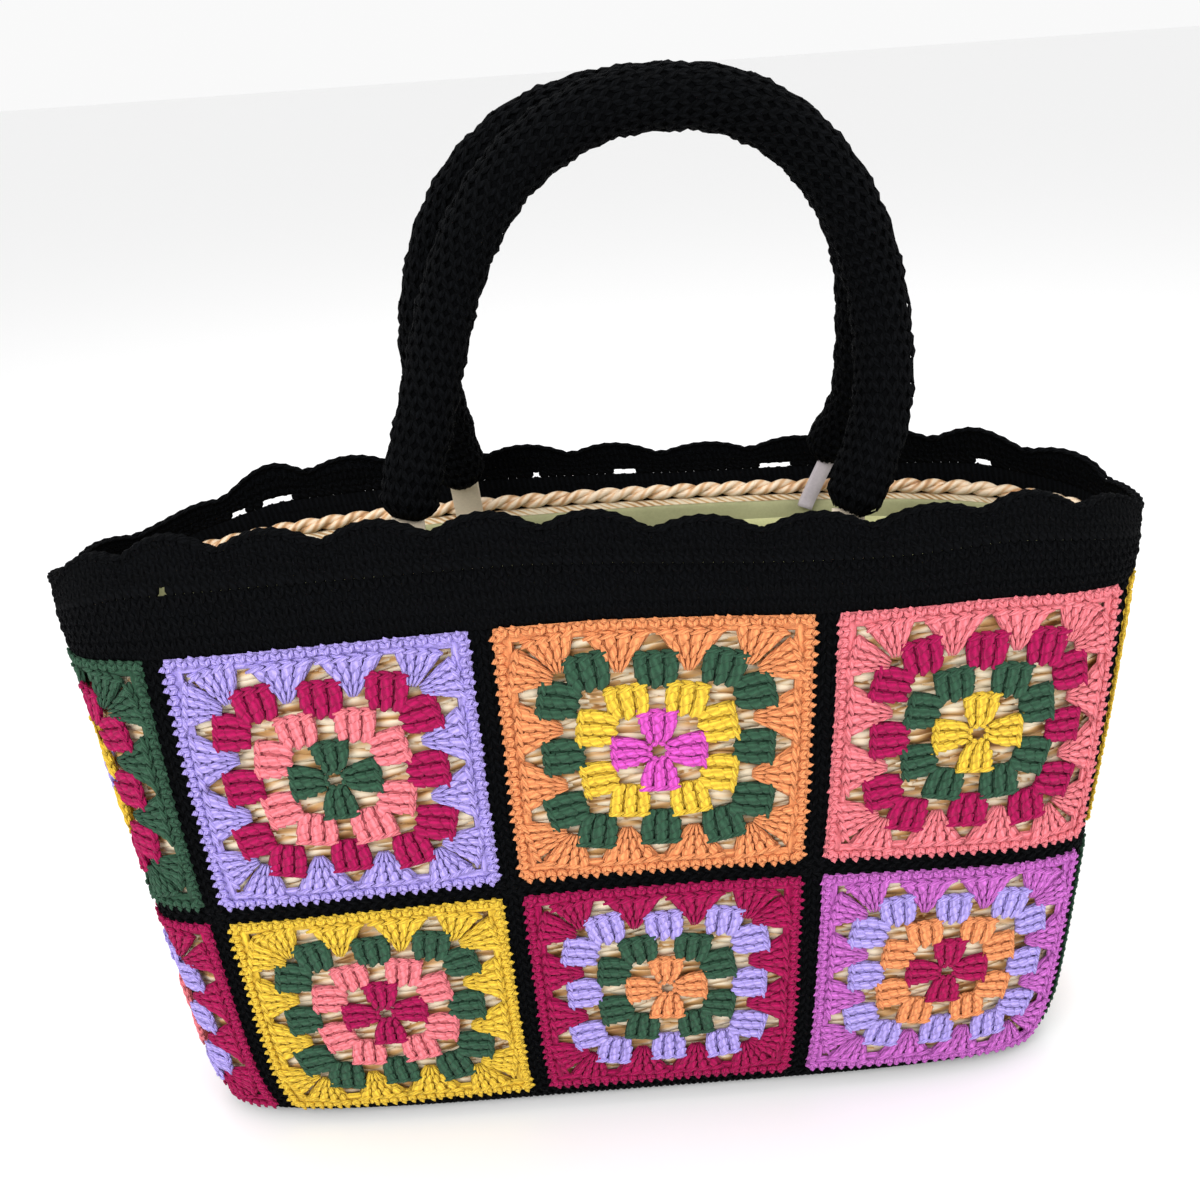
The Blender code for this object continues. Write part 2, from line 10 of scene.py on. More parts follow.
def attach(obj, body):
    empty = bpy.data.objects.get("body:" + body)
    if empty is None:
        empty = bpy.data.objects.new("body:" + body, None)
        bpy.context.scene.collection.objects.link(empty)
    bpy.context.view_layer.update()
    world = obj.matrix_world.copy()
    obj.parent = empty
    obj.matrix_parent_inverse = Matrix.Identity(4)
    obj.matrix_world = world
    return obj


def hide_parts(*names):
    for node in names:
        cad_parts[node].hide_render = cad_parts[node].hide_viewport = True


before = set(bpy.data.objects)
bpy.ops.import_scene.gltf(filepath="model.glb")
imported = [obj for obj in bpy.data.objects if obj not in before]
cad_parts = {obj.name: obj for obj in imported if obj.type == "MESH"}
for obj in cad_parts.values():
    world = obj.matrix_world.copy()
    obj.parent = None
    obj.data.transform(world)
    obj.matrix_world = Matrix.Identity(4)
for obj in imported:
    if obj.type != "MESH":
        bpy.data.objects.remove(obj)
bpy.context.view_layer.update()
hand = np.random.RandomState(11)

# Sizes of the bag, as in the frame
HALF_LENGTH = 0.2225
HALF_DEPTH = 0.0640
BAG_HEIGHT = 0.3065
CROCHET = 0.0030
JOIN_WIDTH = 0.0095
COLUMNS = 8
SHELLS = 25
SHELL_RISE = 0.0088
EYELET_RISE = 0.0030
TUBE_RADIUS = 0.0113
ROW_LOW = 0.0144 / BAG_HEIGHT
ROW_MIDDLE = 0.13485 / BAG_HEIGHT
ROW_TOP = 0.2575 / BAG_HEIGHT
BAND_TOP = 0.2829 / BAG_HEIGHT
BASKET_TOP = 0.2640 / BAG_HEIGHT
LINING_TOP = 0.2605 / BAG_HEIGHT
POCKET_TOP = 0.2526 / BAG_HEIGHT
POCKET_DEPTH = 0.090
HALF_JOIN = JOIN_WIDTH / 2 / BAG_HEIGHT
BASKET_OUT = 0.0040
BASKET_IN = 0.0075
LINING_OUT = 0.0081
LINING_IN = 0.0091

# Wall from the floor up: share of height, half length, front and back half depth, roundness
WALL = (
    (0.000, 0.8450, 0.6880, 0.6880, 4.2),
    (0.016, 0.8740, 0.7660, 0.7580, 4.4),
    (0.047, 0.8990, 0.8200, 0.8130, 4.8),
    (0.150, 0.9280, 0.8630, 0.8440, 5.0),
    (0.440, 0.9410, 0.9220, 0.8910, 5.4),
    (0.630, 0.9600, 0.9450, 0.9300, 5.0),
    (0.840, 0.9830, 0.9500, 0.9530, 4.2),
    (0.923, 1.0000, 0.9770, 0.9840, 3.4),
    (1.000, 1.0000, 1.0000, 1.0000, 3.0),
)
HANG = ((0.0, 0.0), (0.016, 0.009), (0.047, 0.026), (0.1, 0.031), (0.84, 0.031), (1.0, 0.0))
DIPS = (
    (0.00, 0.0000, 0.0114), (0.30, 0.0049, 0.0245), (0.65, 0.0104, 0.0343), (0.90, 0.0082, 0.0375),
    (1.20, 0.0016, 0.0310), (1.45, 0.0030, 0.0473), (1.73, 0.0030, 0.0832), (1.95, 0.0030, 0.1040),
    (2.20, 0.0020, 0.0930), (2.45, 0.0000, 0.0767), (2.65, 0.0000, 0.0587), (3.00, 0.0000, 0.0636),
    (3.60, 0.0000, 0.0653), (4.00, 0.0000, 0.0538), (4.70, 0.0000, 0.0408), (5.10, 0.0000, 0.0408),
    (5.35, 0.0000, 0.0734), (5.60, 0.0000, 0.1044), (5.85, 0.0000, 0.1060), (6.05, 0.0000, 0.0995),
    (6.25, 0.0000, 0.0767), (6.40, 0.0000, 0.0440), (6.60, 0.0000, 0.0147), (7.10, 0.0000, 0.0016),
    (7.70, 0.0000, 0.0000), (8.00, 0.0000, 0.0114),
)
SEAMS = ((-1.426, -1.406, -1.376), (-0.379, -0.380, -0.374), (0.643, 0.647, 0.665), (1.694, 1.667, 1.660))
# Handle lines: share of half the spread, share of the way out to the edge, share of the rise
FRONT_HANDLE = (
    (-1.021, 0.873, -0.073),
    (-0.971, 0.721, 0.061),
    (-0.897, 0.515, 0.217),
    (-0.830, 0.287, 0.380),
    (-0.756, 0.119, 0.533),
    (-0.618, 0.047, 0.719),
    (-0.422, 0.000, 0.868),
    (-0.138, 0.000, 0.974),
    (0.141, 0.000, 1.000),
    (0.426, 0.000, 0.974),
    (0.685, 0.000, 0.870),
    (0.878, 0.047, 0.700),
    (0.982, 0.129, 0.509),
    (1.014, 0.371, 0.311),
    (0.992, 0.632, 0.127),
    (0.903, 0.834, -0.050),
    (0.836, 0.922, -0.144),
)
BACK_HANDLE = (
    (-0.858, 0.903, -0.191),
    (-0.892, 0.739, -0.014),
    (-0.917, 0.453, 0.137),
    (-0.927, 0.178, 0.288),
    (-0.892, 0.000, 0.450),
    (-0.808, 0.000, 0.639),
    (-0.662, 0.000, 0.799),
    (-0.430, 0.000, 0.927),
    (-0.146, 0.000, 0.988),
    (0.141, 0.000, 1.002),
    (0.426, 0.000, 0.978),
    (0.685, 0.000, 0.884),
    (0.893, 0.000, 0.717),
    (1.006, 0.000, 0.521),
    (1.053, 0.273, 0.264),
    (1.058, 0.642, 0.019),
    (0.977, 0.951, -0.141),
    (0.959, 1.000, -0.207),
)

# Yarns of each square from its outer round to its middle
ROUNDS = (
    ("front_left_top", 0, 1, ("lavender", "raspberry", "salmon", "green")),
    ("front_left_low", 0, 0, ("yellow", "green", "salmon", "raspberry")),
    ("front_middle_top", 1, 1, ("orange", "green", "yellow", "magenta")),
    ("front_middle_low", 1, 0, ("raspberry", "lavender", "green", "orange")),
    ("front_right_top", 2, 1, ("salmon", "raspberry", "green", "yellow")),
    ("front_right_low", 2, 0, ("orchid", "lavender", "orange", "raspberry")),
    ("right_end_top", 3, 1, ("yellow", "raspberry", "green", "orange")),
    ("right_end_low", 3, 0, ("green", "orange", "lavender", "yellow")),
    ("back_right_top", 4, 1, ("lavender", "green", "orange", "raspberry")),
    ("back_right_low", 4, 0, ("salmon", "yellow", "lavender", "green")),
    ("back_middle_top", 5, 1, ("raspberry", "yellow", "green", "orchid")),
    ("back_middle_low", 5, 0, ("orange", "lavender", "raspberry", "yellow")),
    ("back_left_top", 6, 1, ("orchid", "green", "yellow", "salmon")),
    ("back_left_low", 6, 0, ("yellow", "raspberry", "lavender", "green")),
    ("left_end_top", 7, 1, ("green", "raspberry", "yellow", "lavender")),
    ("left_end_low", 7, 0, ("raspberry", "lavender", "salmon", "green")),
)


# The wall
def curve(table, at):
    """Rows of a table at many shares, on a smooth curve that never overshoots."""
    rows = np.array(table, float)
    keys = rows[:, 0]
    at = np.clip(np.atleast_1d(np.asarray(at, float)), keys[0], keys[-1])
    i = np.clip(np.searchsorted(keys, at, side="right") - 1, 0, len(keys) - 2)
    span = np.diff(keys)
    step = np.diff(rows, axis=0) / span[:, None]

    def eased(one, two):
        both = np.where(one * two > 0, one + two, 1.0)
        return np.where(one * two > 0, 2 * one * two / both, 0.0)

    low = eased(np.vstack([step[:1], step[:-1]]), step)[i]
    high = eased(step, np.vstack([step[1:], step[-1:]]))[i]
    t = ((at - keys[i]) / span[i])[:, None]
    s = span[i][:, None]
    return (
        (2 * t**3 - 3 * t**2 + 1) * rows[i]
        + (t**3 - 2 * t**2 + t) * s * low
        + (3 * t**2 - 2 * t**3) * rows[i + 1]
        + (t**3 - t**2) * s * high
    )


PLACES, LEVELS = 1600, 241


def wall_grid():
    places = np.arange(PLACES) / PLACES
    levels = np.linspace(0, 1, LEVELS)
    dips = curve(DIPS, places * COLUMNS)
    ends = curve(HANG, levels)[:, 1]
    shape = curve(WALL, levels)
    turn = np.linspace(-1.5 * math.pi, 0.5 * math.pi, 2881)
    c, s = np.cos(turn), np.sin(turn)
    grid = np.zeros((LEVELS, PLACES, 3))
    around = np.zeros(LEVELS)
    for j, level in enumerate(levels):
        _, length, front, back, roundness = shape[j]
        x = HALF_LENGTH * length * np.sign(c) * np.abs(c) ** (2 / roundness)
        y = np.where(s < 0, front, back) * HALF_DEPTH * np.sign(s) * np.abs(s) ** (2 / roundness)
        run = np.concatenate(([0.0], np.cumsum(np.hypot(np.diff(x), np.diff(y)))))
        run = run - np.interp(-0.5 * math.pi, turn, run)
        around[j] = run[-1] - run[0]
        at = (places * around[j] - run[0]) % around[j] + run[0]
        px, py = np.interp(at, run, x), np.interp(at, run, y)
        to_line = min(max((level - ROW_MIDDLE) / (ROW_TOP - ROW_MIDDLE), 0.0), 1.0)
        to_rim = min(max((level - ROW_TOP) / (1.0 - ROW_TOP), 0.0), 1.0)
        hang = ends[j] * (np.abs(px) / (HALF_LENGTH * length)) ** 2
        hang = hang + dips[:, 1] * to_line * (1 - to_rim) + dips[:, 2] * to_rim
        grid[j] = np.stack((px, py, BAG_HEIGHT * (level - hang)), 1)
    ahead = np.roll(grid, -3, axis=1) - np.roll(grid, 3, axis=1)
    up = np.gradient(grid, axis=0)
    normal = np.cross(ahead, up)
    normal /= np.linalg.norm(normal, axis=2, keepdims=True)
    return grid, normal, around


GRID, NORMAL, AROUND_AT = wall_grid()
AROUND = float(AROUND_AT[int(0.44 * (LEVELS - 1))])


def wall(place, level, depth):
    """Points this deep under the outer face of the cover."""
    a = (np.asarray(place, float) % 1.0) * PLACES
    i = np.floor(a).astype(int)
    f = (a - i)[..., None]
    i0, i1 = i % PLACES, (i + 1) % PLACES
    b = np.clip(np.asarray(level, float), 0.0, 1.05) * (LEVELS - 1)
    j = np.clip(np.floor(b).astype(int), 0, LEVELS - 2)
    g = (b - j)[..., None]

    def mix(table):
        low = table[j, i0] * (1 - f) + table[j, i1] * f
        high = table[j + 1, i0] * (1 - f) + table[j + 1, i1] * f
        return low * (1 - g) + high * g

    return mix(GRID) - mix(NORMAL) * np.asarray(depth, float)[..., None]


def seam(number, level):
    rows = (ROW_LOW, ROW_MIDDLE, ROW_TOP)
    fronts = [np.interp(level, rows, row) for row in SEAMS]
    if number < 4:
        return fronts[number] / COLUMNS
    first, last = fronts[-1], fronts[0] + COLUMNS
    return (first + (last - first) * (number - 3) / 5) / COLUMNS


def across(column, share, level):
    left = seam(column, level)
    right = seam(column + 1, level) if column + 1 < COLUMNS else seam(0, level) + 1.0
    return left + (right - left) * share


EDGE = JOIN_WIDTH / 2 / (AROUND / COLUMNS)


def chart(points):
    """Metres round the bag, metres up it, height over the back of the crochet."""
    return wall(points[:, 0] / AROUND, points[:, 1] / BAG_HEIGHT, CROCHET - points[:, 2])


def on_square(column, row):
    low = ROW_LOW if row == 0 else ROW_MIDDLE + HALF_JOIN
    top = ROW_MIDDLE - HALF_JOIN if row == 0 else ROW_TOP

    def place_it(points):
        level = low + (top - low) * (points[:, 1] / SIDE + 0.5)
        share = EDGE + (1 - 2 * EDGE) * (points[:, 0] / SIDE + 0.5)
        return wall(across(column, share, level), level, CROCHET - points[:, 2])

    return place_it


# Templates, modelled once and copied
def alone(thing=None):
    bpy.ops.object.select_all(action="DESELECT")
    if thing is not None:
        thing.select_set(True)
        bpy.context.view_layer.objects.active = thing


def strand(name, sides, cuts, flat, twist, ends):
    """A short piece of yarn: a cylinder cut across, pressed oval, drawn in at its ends and twisted."""
    alone()
    bpy.ops.mesh.primitive_cylinder_add(vertices=sides, radius=0.5, depth=1.0, location=(0, 0, 0.5))
    made = bpy.context.object
    made.name = name
    bpy.ops.object.transform_apply(location=True, rotation=True, scale=True)
    bpy.ops.object.mode_set(mode="EDIT")
    bpy.context.tool_settings.mesh_select_mode = (False, True, False)
    bpy.ops.mesh.select_all(action="DESELECT")
    bpy.ops.object.mode_set(mode="OBJECT")
    points = made.data.vertices
    for edge in made.data.edges:
        a, b = edge.vertices
        edge.select = abs(points[a].co.z - points[b].co.z) > 0.5
    bpy.ops.object.mode_set(mode="EDIT")
    bpy.ops.mesh.subdivide(number_cuts=cuts)
    bpy.context.tool_settings.mesh_select_mode = (True, False, False)
    for end in (0.0, 1.0):
        bpy.ops.mesh.select_all(action="DESELECT")
        bpy.ops.object.mode_set(mode="OBJECT")
        for point in made.data.vertices:
            point.select = abs(point.co.z - end) < 0.001
        bpy.ops.object.mode_set(mode="EDIT")
        bpy.ops.transform.resize(value=(ends[int(end)], ends[int(end)], 1.0))
    bpy.ops.mesh.select_all(action="SELECT")
    bpy.ops.transform.resize(value=(1.0, flat, 1.0))
    bpy.ops.object.mode_set(mode="OBJECT")
    if twist:
        turned = made.modifiers.new("twist", "SIMPLE_DEFORM")
        turned.deform_method = "TWIST"
        turned.deform_axis = "Z"
        turned.angle = math.radians(twist)
        bpy.ops.object.modifier_apply(modifier="twist")
    mesh = made.data
    kit = {
        "points": np.array([v.co[:] for v in mesh.vertices]),
        "loops": np.array([l.vertex_index for l in mesh.loops]),
        "totals": np.array([len(p.vertices) for p in mesh.polygons]),
        "uv": np.array([l.uv[:] for l in mesh.uv_layers.active.data]),
    }
    bpy.data.objects.remove(made, do_unlink=True)
    return kit


def lay(kit, start, end, wide0, wide1, thick, crown=0.0):
    """Copies of a strand laid from start points to end points, widening from wide0 to wide1."""
    start, end = np.atleast_2d(start).astype(float), np.atleast_2d(end).astype(float)
    way = end - start
    d = way / np.linalg.norm(way, axis=1, keepdims=True)
    side = np.cross(d, np.array((0, 0, 1.0)))
    side /= np.linalg.norm(side, axis=1, keepdims=True)
    up = np.cross(side, d)
    t = kit["points"]
    z = t[None, :, 2:3]
    n = len(start)
    wide0, wide1, thick = (np.broadcast_to(np.asarray(v, float), (n,))[:, None, None] for v in (wide0, wide1, thick))
    wide = wide0 + (wide1 - wide0) * z
    lift = -t[None, :, 1:2] * thick + crown * np.sin(np.pi * z)
    return start[:, None] + way[:, None] * z + side[:, None] * t[None, :, 0:1] * wide + up[:, None] * lift


def joined(name, batches, place_it, materials):
    """One mesh of many laid strands: batches of (template, points, material number)."""
    points, loops, totals, uvs, slots = [], [], [], [], []
    base = 0
    for kit, laid, number in batches:
        n, m = laid.shape[:2]
        points.append(place_it(laid.reshape(-1, 3)))
        loops.append((kit["loops"][None] + (base + m * np.arange(n))[:, None]).ravel())
        totals.append(np.tile(kit["totals"], n))
        shift = hand.rand(n, 1, 2) * 3
        uvs.append((kit["uv"][None] + shift).reshape(-1, 2))
        slots.append(np.full(n * len(kit["totals"]), number))
        base += n * m
    return built(name, np.concatenate(points), np.concatenate(loops), np.concatenate(totals), np.concatenate(uvs), np.concatenate(slots), materials)


def built(name, points, loops, totals, uvs, slots, materials):
    mesh = bpy.data.meshes.new(name)
    mesh.vertices.add(len(points))
    mesh.vertices.foreach_set("co", points.astype(np.float32).ravel())
    mesh.loops.add(len(loops))
    mesh.loops.foreach_set("vertex_index", loops.astype(np.int32))
    mesh.polygons.add(len(totals))
    starts = np.concatenate(([0], np.cumsum(totals)[:-1])).astype(np.int32)
    mesh.polygons.foreach_set("loop_start", starts)
    if uvs is not None:
        layer = mesh.uv_layers.new(name="UVMap")
        layer.data.foreach_set("uv", uvs.astype(np.float32).ravel())
    for made in materials:
        mesh.materials.append(made)
    mesh.polygons.foreach_set("material_index", slots.astype(np.int32))
    mesh.polygons.foreach_set("use_smooth", np.ones(len(totals), bool))
    mesh.update(calc_edges=True)
    mesh.validate()
    thing = bpy.data.objects.new(name, mesh)
    bpy.context.scene.collection.objects.link(thing)
    return thing


def placed(made, name, points, materials, stretch):
    """Moves a primitive's points to their places, and gives it its finish."""
    mesh = made.data
    made.name = name
    mesh.name = name
    made.matrix_world = Matrix()
    mesh.vertices.foreach_set("co", np.ascontiguousarray(points, np.float32).ravel())
    if mesh.uv_layers:
        layer = mesh.uv_layers.active.data
        flat = np.empty(len(layer) * 2, np.float32)
        layer.foreach_get("uv", flat)
        layer.foreach_set("uv", (flat.reshape(-1, 2) * np.array(stretch)).astype(np.float32).ravel())
    for finish in materials:
        mesh.materials.append(finish)
    alone(made)
    bpy.ops.object.mode_set(mode="EDIT")
    bpy.ops.mesh.select_all(action="SELECT")
    bpy.ops.mesh.normals_make_consistent(inside=False)
    bpy.ops.object.mode_set(mode="OBJECT")
    bpy.ops.object.shade_smooth()
    return made


def corners_of(mesh):
    flat = np.empty(len(mesh.vertices) * 3, np.float64)
    mesh.vertices.foreach_get("co", flat)
    return flat.reshape(-1, 3)


def pick_edges(made, wanted):
    """Leaves only the edges selected that a test of both their ends picks out."""
    mesh = made.data
    bpy.context.tool_settings.mesh_select_mode = (False, True, False)
    bpy.ops.object.mode_set(mode="EDIT")
    bpy.ops.mesh.select_all(action="DESELECT")
    bpy.ops.object.mode_set(mode="OBJECT")
    pairs = np.empty(len(mesh.edges) * 2, np.int32)
    mesh.edges.foreach_get("vertices", pairs)
    pairs = pairs.reshape(-1, 2)
    mesh.edges.foreach_set("select", wanted(pairs[:, 0], pairs[:, 1]))


def cut_across(n, cuts, ends):
    """A cylinder with its sides cut across, and the ring and place in the ring of each point."""
    alone()
    bpy.ops.mesh.primitive_cylinder_add(vertices=n, radius=1.0, depth=2.0, end_fill_type=ends)
    made = bpy.context.object
    height = corners_of(made.data)[:, 2]
    pick_edges(made, lambda a, b: np.abs(height[a] - height[b]) > 1.0)
    bpy.ops.object.mode_set(mode="EDIT")
    bpy.ops.mesh.subdivide(number_cuts=cuts)
    bpy.ops.object.mode_set(mode="OBJECT")
    at = corners_of(made.data)
    angle = np.arctan2(at[:, 1], at[:, 0])
    i = np.rint((angle - angle[0]) / (2 * np.pi) * n).astype(int) % n
    k = np.rint((at[:, 2] + 1) / 2 * (cuts + 1)).astype(int)
    return made, k, i


def sleeve(name, stack, materials, stretch=(40.0, 10.0)):
    """A capped cylinder, cut across, whose rings are drawn out one by one."""
    stack = np.asarray(stack)
    r, n = stack.shape[:2]
    made, k, i = cut_across(n, r - 2, "NGON")
    return placed(made, name, stack[k, i], materials, stretch)


def hoop(name, stack, materials, stretch=(100.0, 1.0)):
    """A closed ring whose section is a small loop of points: an open sleeve bridged from end to end."""
    stack = np.asarray(stack)
    r, n = stack.shape[:2]
    made, k, i = cut_across(r, n - 2, "NOTHING")
    made.data.vertices.foreach_set("co", np.ascontiguousarray(stack[i, k], np.float32).ravel())
    pick_edges(made, lambda a, b: (k[a] == k[b]) & ((k[a] == 0) | (k[a] == n - 1)))
    bpy.ops.object.mode_set(mode="EDIT")
    bpy.ops.mesh.bridge_edge_loops()
    bpy.ops.object.mode_set(mode="OBJECT")
    return placed(made, name, corners_of(made.data), materials, stretch)


def patch(name, sheet_points, thick, materials, stretch=(1.0, 1.0)):
    """A flat grid laid on the wall, then given its thickness evenly to both sides."""
    ny, nx = sheet_points.shape[:2]
    alone()
    bpy.ops.mesh.primitive_grid_add(x_subdivisions=nx - 1, y_subdivisions=ny - 1, size=2.0)
    made = bpy.context.object
    at = corners_of(made.data)
    i = np.rint((at[:, 0] + 1) / 2 * (nx - 1)).astype(int)
    j = np.rint((at[:, 1] + 1) / 2 * (ny - 1)).astype(int)
    placed(made, name, sheet_points[j, i], materials, stretch)
    wall_of = made.modifiers.new("thickness", "SOLIDIFY")
    wall_of.thickness = thick
    wall_of.offset = 0.0
    bpy.ops.object.modifier_apply(modifier="thickness")
    return made


def merged(name, things):
    alone()
    for thing in things:
        thing.select_set(True)
    bpy.context.view_layer.objects.active = things[0]
    bpy.ops.object.join()
    whole = bpy.context.object
    whole.name = name
    return whole


# Finishes
def from_hex(text):
    parts = [int(text[i : i + 2], 16) / 255 for i in (0, 2, 4)]
    return tuple(p / 12.92 if p <= 0.04045 else ((p + 0.055) / 1.055) ** 2.4 for p in parts)


def fresh(name):
    made = bpy.data.materials.new(name)
    made.use_nodes = True
    return made, made.node_tree.nodes, made.node_tree.links, made.node_tree.nodes["Principled BSDF"]


def shade(nodes, links, shader, vector, pieces, base, spread, extra=None):
    """Base colour broken up by noises: (scale, weight) pairs, between darker and lighter sorts of it."""
    parts = []
    for scale, weight in pieces:
        noise = nodes.new("ShaderNodeTexNoise")
        noise.inputs["Scale"].default_value = scale
        noise.inputs["Detail"].default_value = 3.0
        links.new(vector, noise.inputs["Vector"])
        parts.append((noise, weight))
    if extra is not None:
        parts.append(extra)
    total = None
    for texture, weight in parts:
        share = nodes.new("ShaderNodeMath")
        share.operation = "MULTIPLY"
        links.new(texture.outputs["Fac"], share.inputs[0])
        share.inputs[1].default_value = weight
        if total is None:
            total = share.outputs[0]
        else:
            add = nodes.new("ShaderNodeMath")
            add.operation = "ADD"
            links.new(total, add.inputs[0])
            links.new(share.outputs[0], add.inputs[1])
            total = add.outputs[0]
    ramp = nodes.new("ShaderNodeValToRGB")
    ramp.color_ramp.elements[0].position = 0.32
    ramp.color_ramp.elements[1].position = 0.68
    low = tuple(c * (1 - spread) for c in base)
    high = tuple(min(1.0, c * (1 + spread * 0.8)) for c in base)
    ramp.color_ramp.elements[0].color = (*low, 1)
    ramp.color_ramp.elements[1].color = (*high, 1)
    links.new(total, ramp.inputs["Fac"])
    links.new(ramp.outputs["Color"], shader.inputs["Base Color"])
    return ramp


def yarn(name, colour, spread=0.30, sheen=0.2, gloss=0.12):
    """Matt, slightly hairy yarn whose plies run slanting along each strand, with painted shade: the colour is darker in
    the grooves between the plies and lighter on their crowns.
    """
    made, nodes, links, shader = fresh(name)
    base = from_hex(colour)
    shader.inputs["Roughness"].default_value = 0.95
    shader.inputs["Specular IOR Level"].default_value = gloss
    shader.inputs["Sheen Weight"].default_value = sheen
    shader.inputs["Sheen Roughness"].default_value = 0.6
    shader.inputs["Sheen Tint"].default_value = (*[min(1.0, 0.15 + c) for c in base], 1)
    where = nodes.new("ShaderNodeTexCoord")
    plies = nodes.new("ShaderNodeTexWave")
    plies.bands_direction = "DIAGONAL"
    plies.inputs["Scale"].default_value = 2.6
    plies.inputs["Distortion"].default_value = 2.0
    plies.inputs["Detail"].default_value = 2.0
    links.new(where.outputs["UV"], plies.inputs["Vector"])
    # the plies' wave also drives the colour: painted shade in the ply grooves, lighter colour on the ply crowns
    shade(nodes, links, shader, where.outputs["Object"], ((2200.0, 0.35), (300.0, 0.35)), base, spread, (plies, 0.30))
    hairs = nodes.new("ShaderNodeTexNoise")
    hairs.inputs["Scale"].default_value = 2200.0
    hairs.inputs["Detail"].default_value = 4.0
    links.new(where.outputs["Object"], hairs.inputs["Vector"])
    both = nodes.new("ShaderNodeMath")
    both.operation = "ADD"
    links.new(plies.outputs["Fac"], both.inputs[0])
    links.new(hairs.outputs["Fac"], both.inputs[1])
    bump = nodes.new("ShaderNodeBump")
    bump.inputs["Strength"].default_value = 0.8
    bump.inputs["Distance"].default_value = 0.0006
    links.new(both.outputs[0], bump.inputs["Height"])
    links.new(bump.outputs["Normal"], shader.inputs["Normal"])
    return made


def straw(name, colours, scale):
    """Glossy twisted straw: streaks of cream, tan and brown along each strand, partly the straw's own tones and partly
    painted light: painted highlight on the raised streaks, painted shade in the grooves of the twist.
    """
    made, nodes, links, shader = fresh(name)
    shader.inputs["Roughness"].default_value = 0.42
    shader.inputs["Specular IOR Level"].default_value = 0.5
    where = nodes.new("ShaderNodeTexCoord")
    lumps = nodes.new("ShaderNodeTexNoise")
    lumps.inputs["Scale"].default_value = 55.0
    lumps.inputs["Detail"].default_value = 2.0
    links.new(where.outputs["Object"], lumps.inputs["Vector"])
    streaks = nodes.new("ShaderNodeTexWave")
    streaks.bands_direction = "DIAGONAL"
    streaks.inputs["Scale"].default_value = scale
    streaks.inputs["Distortion"].default_value = 2.2
    streaks.inputs["Detail"].default_value = 2.0
    links.new(where.outputs["UV"], streaks.inputs["Vector"])
    # the streaks lighten the colour where they raise the bump: painted highlight on the ridges and painted shade in the
    # grooves, over the straw's own tones
    mix = nodes.new("ShaderNodeMath")
    mix.operation = "MULTIPLY_ADD"
    links.new(streaks.outputs["Fac"], mix.inputs[0])
    mix.inputs[1].default_value = 0.42
    links.new(lumps.outputs["Fac"], mix.inputs[2])
    ramp = nodes.new("ShaderNodeValToRGB")
    marks = (0.30, 0.55, 0.80)
    ramp.color_ramp.elements[0].position = marks[0]
    ramp.color_ramp.elements[1].position = marks[2]
    ramp.color_ramp.elements.new(marks[1])
    for element, colour in zip(ramp.color_ramp.elements, colours):
        element.color = (*from_hex(colour), 1)
    links.new(mix.outputs[0], ramp.inputs["Fac"])
    links.new(ramp.outputs["Color"], shader.inputs["Base Color"])
    bump = nodes.new("ShaderNodeBump")
    bump.inputs["Strength"].default_value = 0.5
    bump.inputs["Distance"].default_value = 0.0005
    links.new(streaks.outputs["Fac"], bump.inputs["Height"])
    links.new(bump.outputs["Normal"], shader.inputs["Normal"])
    return made


def cloth(name, colour, threads, spread=0.12, rough=0.85):
    """Plain woven cloth: crossing threads and a soft unevenness."""
    made, nodes, links, shader = fresh(name)
    base = from_hex(colour)
    shader.inputs["Roughness"].default_value = rough
    shader.inputs["Specular IOR Level"].default_value = 0.25
    shader.inputs["Sheen Weight"].default_value = 0.15
    where = nodes.new("ShaderNodeTexCoord")
    shade(nodes, links, shader, where.outputs["Object"], ((35.0, 0.6), (900.0, 0.4)), base, spread)
    height = None
    for direction in ("X", "Z"):
        wave = nodes.new("ShaderNodeTexWave")
        wave.bands_direction = direction
        wave.inputs["Scale"].default_value = threads
        wave.inputs["Distortion"].default_value = 0.4
        links.new(where.outputs["Object"], wave.inputs["Vector"])
        if height is None:
            height = wave.outputs["Fac"]
        else:
            add = nodes.new("ShaderNodeMath")
            add.operation = "ADD"
            links.new(height, add.inputs[0])
            links.new(wave.outputs["Fac"], add.inputs[1])
            height = add.outputs[0]
    bump = nodes.new("ShaderNodeBump")
    bump.inputs["Strength"].default_value = 0.4
    bump.inputs["Distance"].default_value = 0.0003
    links.new(height, bump.inputs["Height"])
    links.new(bump.outputs["Normal"], shader.inputs["Normal"])
    return made


YARNS = {
    "lavender": yarn("lavender_yarn", "B0A0EA"),
    "raspberry": yarn("raspberry_yarn", "A60F50"),
    "salmon": yarn("salmon_yarn", "F98089"),
    "green": yarn("green_yarn", "31533F"),
    "yellow": yarn("yellow_yarn", "F1C440"),
    "orange": yarn("orange_yarn", "F79862"),
    "magenta": yarn("magenta_yarn", "DC55C0"),
    "orchid": yarn("orchid_yarn", "C76AC4"),
}
BLACK = yarn("black_yarn", "060709", spread=0.6, sheen=0.0, gloss=0.06)
# ramp from dark to light: the dark brown end is partly painted shade and the pale cream end partly painted highlight,
# over the straw's own tan
STRAW = straw("twisted_straw", ("7A4B22", "D2A468", "F6E6C8"), 1.1)
# the rim's dark brown is painted shade between the plaits; its tan and cream are the straw's own tones, with the
# streaks painted as in the basket straw
ROPE = straw("plaited_straw", ("8A5A34", "DDAE7E", "F4DCBE"), 1.4)
SAGE = cloth("sage_cotton", "B0B085", 900.0)
PALE = cloth("pale_green_cotton", "D2D29A", 900.0)
CREAM = cloth("cream_tape", "E6D6BE", 700.0)
GREY = cloth("grey_tape", "CFC6CC", 700.0)

